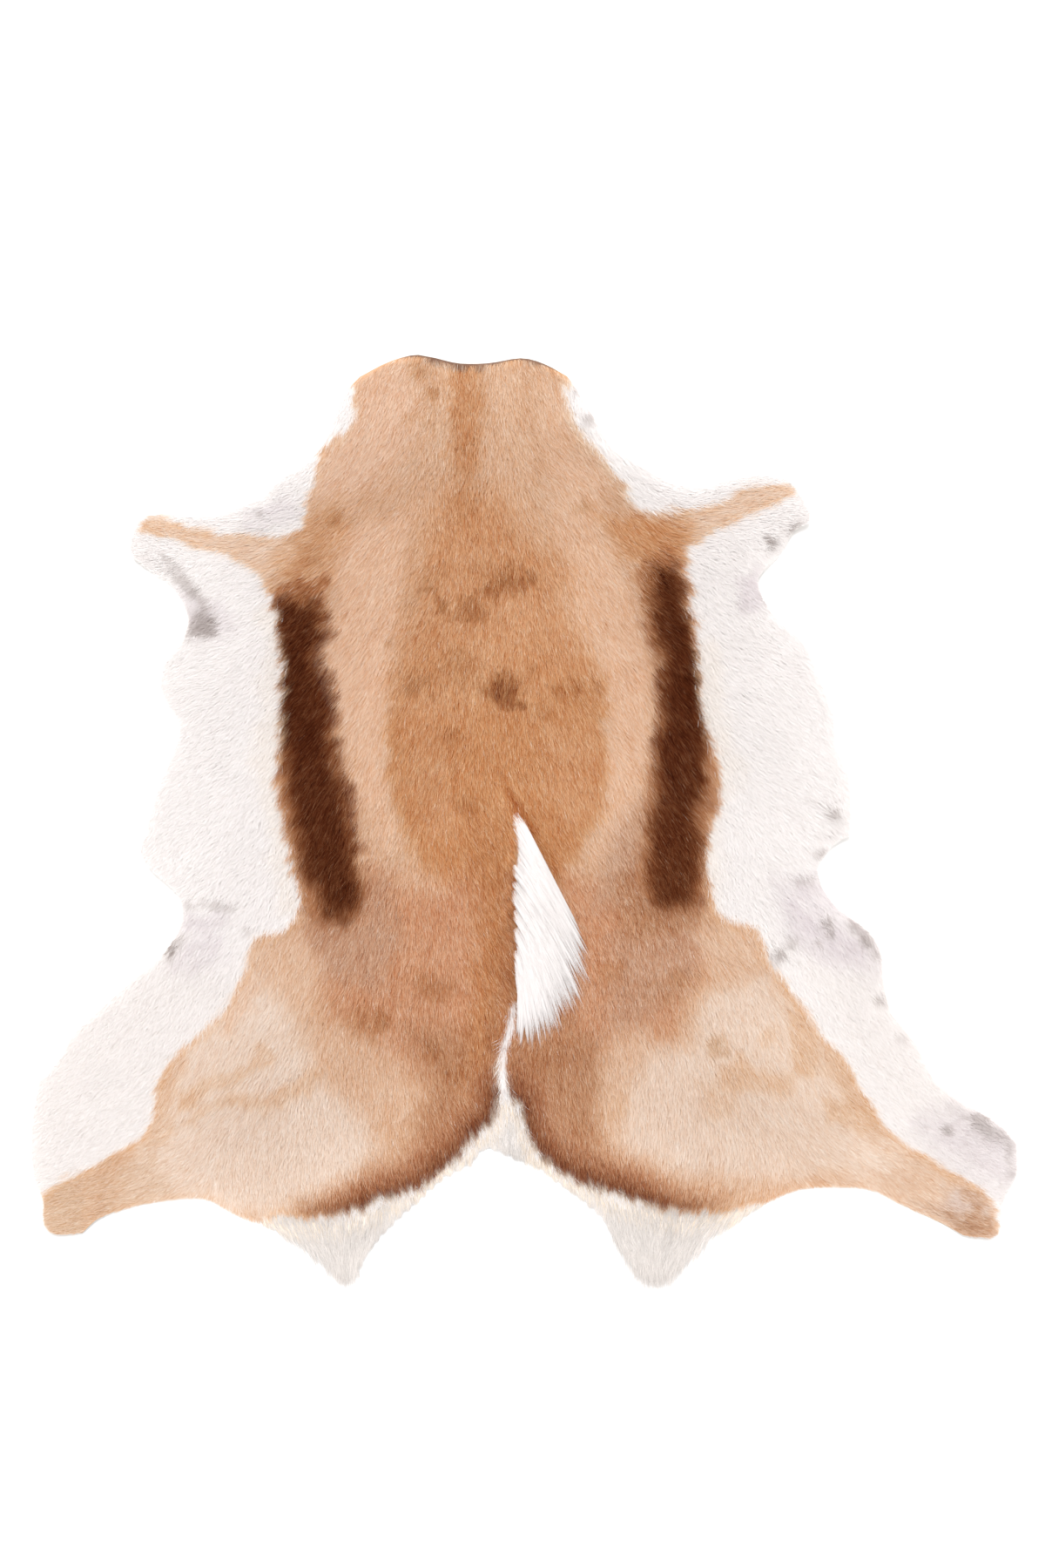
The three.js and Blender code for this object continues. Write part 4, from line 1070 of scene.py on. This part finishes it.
def rump_hair(pelt, material):
    """The long white hair that hangs past the skin below the haunches."""
    random = np.random.default_rng(SEED + 61)
    x, y = np.empty(0), np.empty(0)
    while len(x) < RUMP_HAIR["count"]:
        more_x = random.uniform(*RUMP_X, RUMP_BATCH)
        more_y = random.uniform(*RUMP_Y, RUMP_BATCH)
        keep = sample(pelt.rump, more_x, more_y) > -2
        keep &= sample(pelt.on_skin, more_x, more_y) > ROOT_CLEAR
        x, y = np.r_[x, more_x[keep]], np.r_[y, more_y[keep]]
    x, y = x[:RUMP_HAIR["count"]], y[:RUMP_HAIR["count"]]
    turns = random.normal(0, RUMP_HAIR["turn"], len(x))
    lengths = RUMP_HAIR["length"] * random.uniform(*RUMP_HAIR["sizes"], len(x))
    lengths *= 0.55 + 0.45 * smooth(sample(pelt.rump, x, y), 0, 20)
    lengths = pelt.kept_in(x, y, lengths, RUMP_HAIR["past_rim"], turns)
    share = random.uniform(*RUMP_HAIR["rise"], len(x))
    paths = pelt.path(x, y, lengths, turns, share, RUMP_HAIR["stations"])
    # Hairs that rise less are painted darker, as painted shade low in the hair; the tone also differs at
    # random and in combed streaks
    tone = 0.95 + 0.08 * share + random.normal(0, 0.09, len(x))
    tone += 0.09 * sample(pelt.spikes, x, y)
    cream = (1 - smooth(sample(pelt.rump, x, y), 0, 6)) * random.uniform(0, 0.8, len(x))
    colours = linear(RUMP_WHITE) + (linear(CREAM) - linear(RUMP_WHITE)) * cream[:, None]
    colours *= tone[:, None]
    widths = RUMP_HAIR["width"] * random.uniform(*LONG_WIDTHS, len(x))
    return hair_piece("rump_hair", paths, widths, colours, 1.06 * colours, material, random)


# Studio

def key_light():
    light = bpy.data.lights.new("key", "SUN")
    light.energy = SUN["strength"]
    light.angle = SUN["softness"]
    lamp = bpy.data.objects.new("key", light)
    lamp.rotation_euler = (*np.radians(SUN["turn"]), 0)
    bpy.context.scene.collection.objects.link(lamp)


def paper_floor():
    bpy.ops.mesh.primitive_plane_add(size=FLOOR_SIZE, location=(0, 0, FLOOR_AT))
    floor = bpy.context.object
    floor.name = "floor"
    paper, shader = principled("paper", roughness=0.9, sheen=0)
    shader.inputs["Base Color"].default_value = (PAPER, PAPER, PAPER, 1)
    shader.inputs["Specular IOR Level"].default_value = 0
    floor.data.materials.append(paper)


def daylight(scene):
    world = bpy.data.worlds.new("studio")
    world.use_nodes = True
    background = world.node_tree.nodes["Background"]
    background.inputs["Color"].default_value = (1, 1, 1, 1)
    background.inputs["Strength"].default_value = 1.0
    scene.world = world


def camera_above(scene):
    camera = bpy.data.cameras.new("camera")
    camera.sensor_fit = "VERTICAL"
    camera.sensor_height = 36
    camera.lens = CAMERA_LENS
    camera.clip_end = 20
    eye = bpy.data.objects.new("camera", camera)
    eye.location = CAMERA_AT
    scene.collection.objects.link(eye)
    scene.camera = eye


def studio():
    scene = bpy.context.scene
    paper_floor()
    daylight(scene)
    key_light()
    scene.view_settings.view_transform = "Standard"
    scene.view_settings.look = "None"
    camera_above(scene)


# Build

def dress(frame):
    pelt = Pelt(frame["nodes"]["hide"])
    coat = hair_material("coat", roughness=0.62, sheen=0.25)
    white = hair_material("white_hair", roughness=0.6, sheen=0.2)
    dark = hair_material("dark_hair", roughness=0.6, sheen=0, shine=0.04)
    skin, area = skin_piece(pelt.outline, pelt.low, pelt.colour, [coat, suede_material()])

    def kind_of(x, y, random):
        """0 where a hair is coloured, 1 where it is white and 2 where it is dark."""
        roll = random.uniform(0.35, 0.65, len(x))
        is_white = sample(pelt.white, x, y) > roll
        is_dark = sample(pelt.dark, x, y) > roll
        return np.where(is_white, 1, np.where(is_dark, 2, 0))

    def front_coat(x, y, random):
        return (kind_of(x, y, random) == 0) & (y > COAT_SPLIT)

    def rear_coat(x, y, random):
        return (kind_of(x, y, random) == 0) & (y <= COAT_SPLIT)

    def white_side(side):
        return lambda x, y, random: (kind_of(x, y, random) == 1) & (np.sign(x - BELLY_SPLIT) == side)

    def stripes(x, y, random):
        return kind_of(x, y, random) == 2

    pieces = [
        (short_hair(pelt, "coat_front", BACK_HAIR, front_coat, coat, 41), "hide"),
        (short_hair(pelt, "coat_rear", BACK_HAIR, rear_coat, coat, 42), "hide"),
        (short_hair(pelt, "belly_left", BELLY_HAIR, white_side(-1), white, 43, 0.3), "white_hair"),
        (short_hair(pelt, "belly_right", BELLY_HAIR, white_side(1), white, 44, 0.3), "white_hair"),
        (short_hair(pelt, "stripes", STRIPE_HAIR, stripes, dark, 45), "dark_hair"),
        (crest_hair(pelt, white), "white_hair"),
        (rump_hair(pelt, white), "white_hair"),
    ]
    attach(skin, "root")
    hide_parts("hide")
    for piece, slot in pieces:
        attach(piece, "root")


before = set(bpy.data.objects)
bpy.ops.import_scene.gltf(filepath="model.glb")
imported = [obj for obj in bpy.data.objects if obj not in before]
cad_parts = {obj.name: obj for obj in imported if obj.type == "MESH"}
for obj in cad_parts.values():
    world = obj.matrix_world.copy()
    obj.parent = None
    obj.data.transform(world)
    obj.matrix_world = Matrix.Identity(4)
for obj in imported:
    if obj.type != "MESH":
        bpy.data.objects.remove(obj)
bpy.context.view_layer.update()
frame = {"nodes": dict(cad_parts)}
dress(frame)
studio()
bpy.context.view_layer.update()
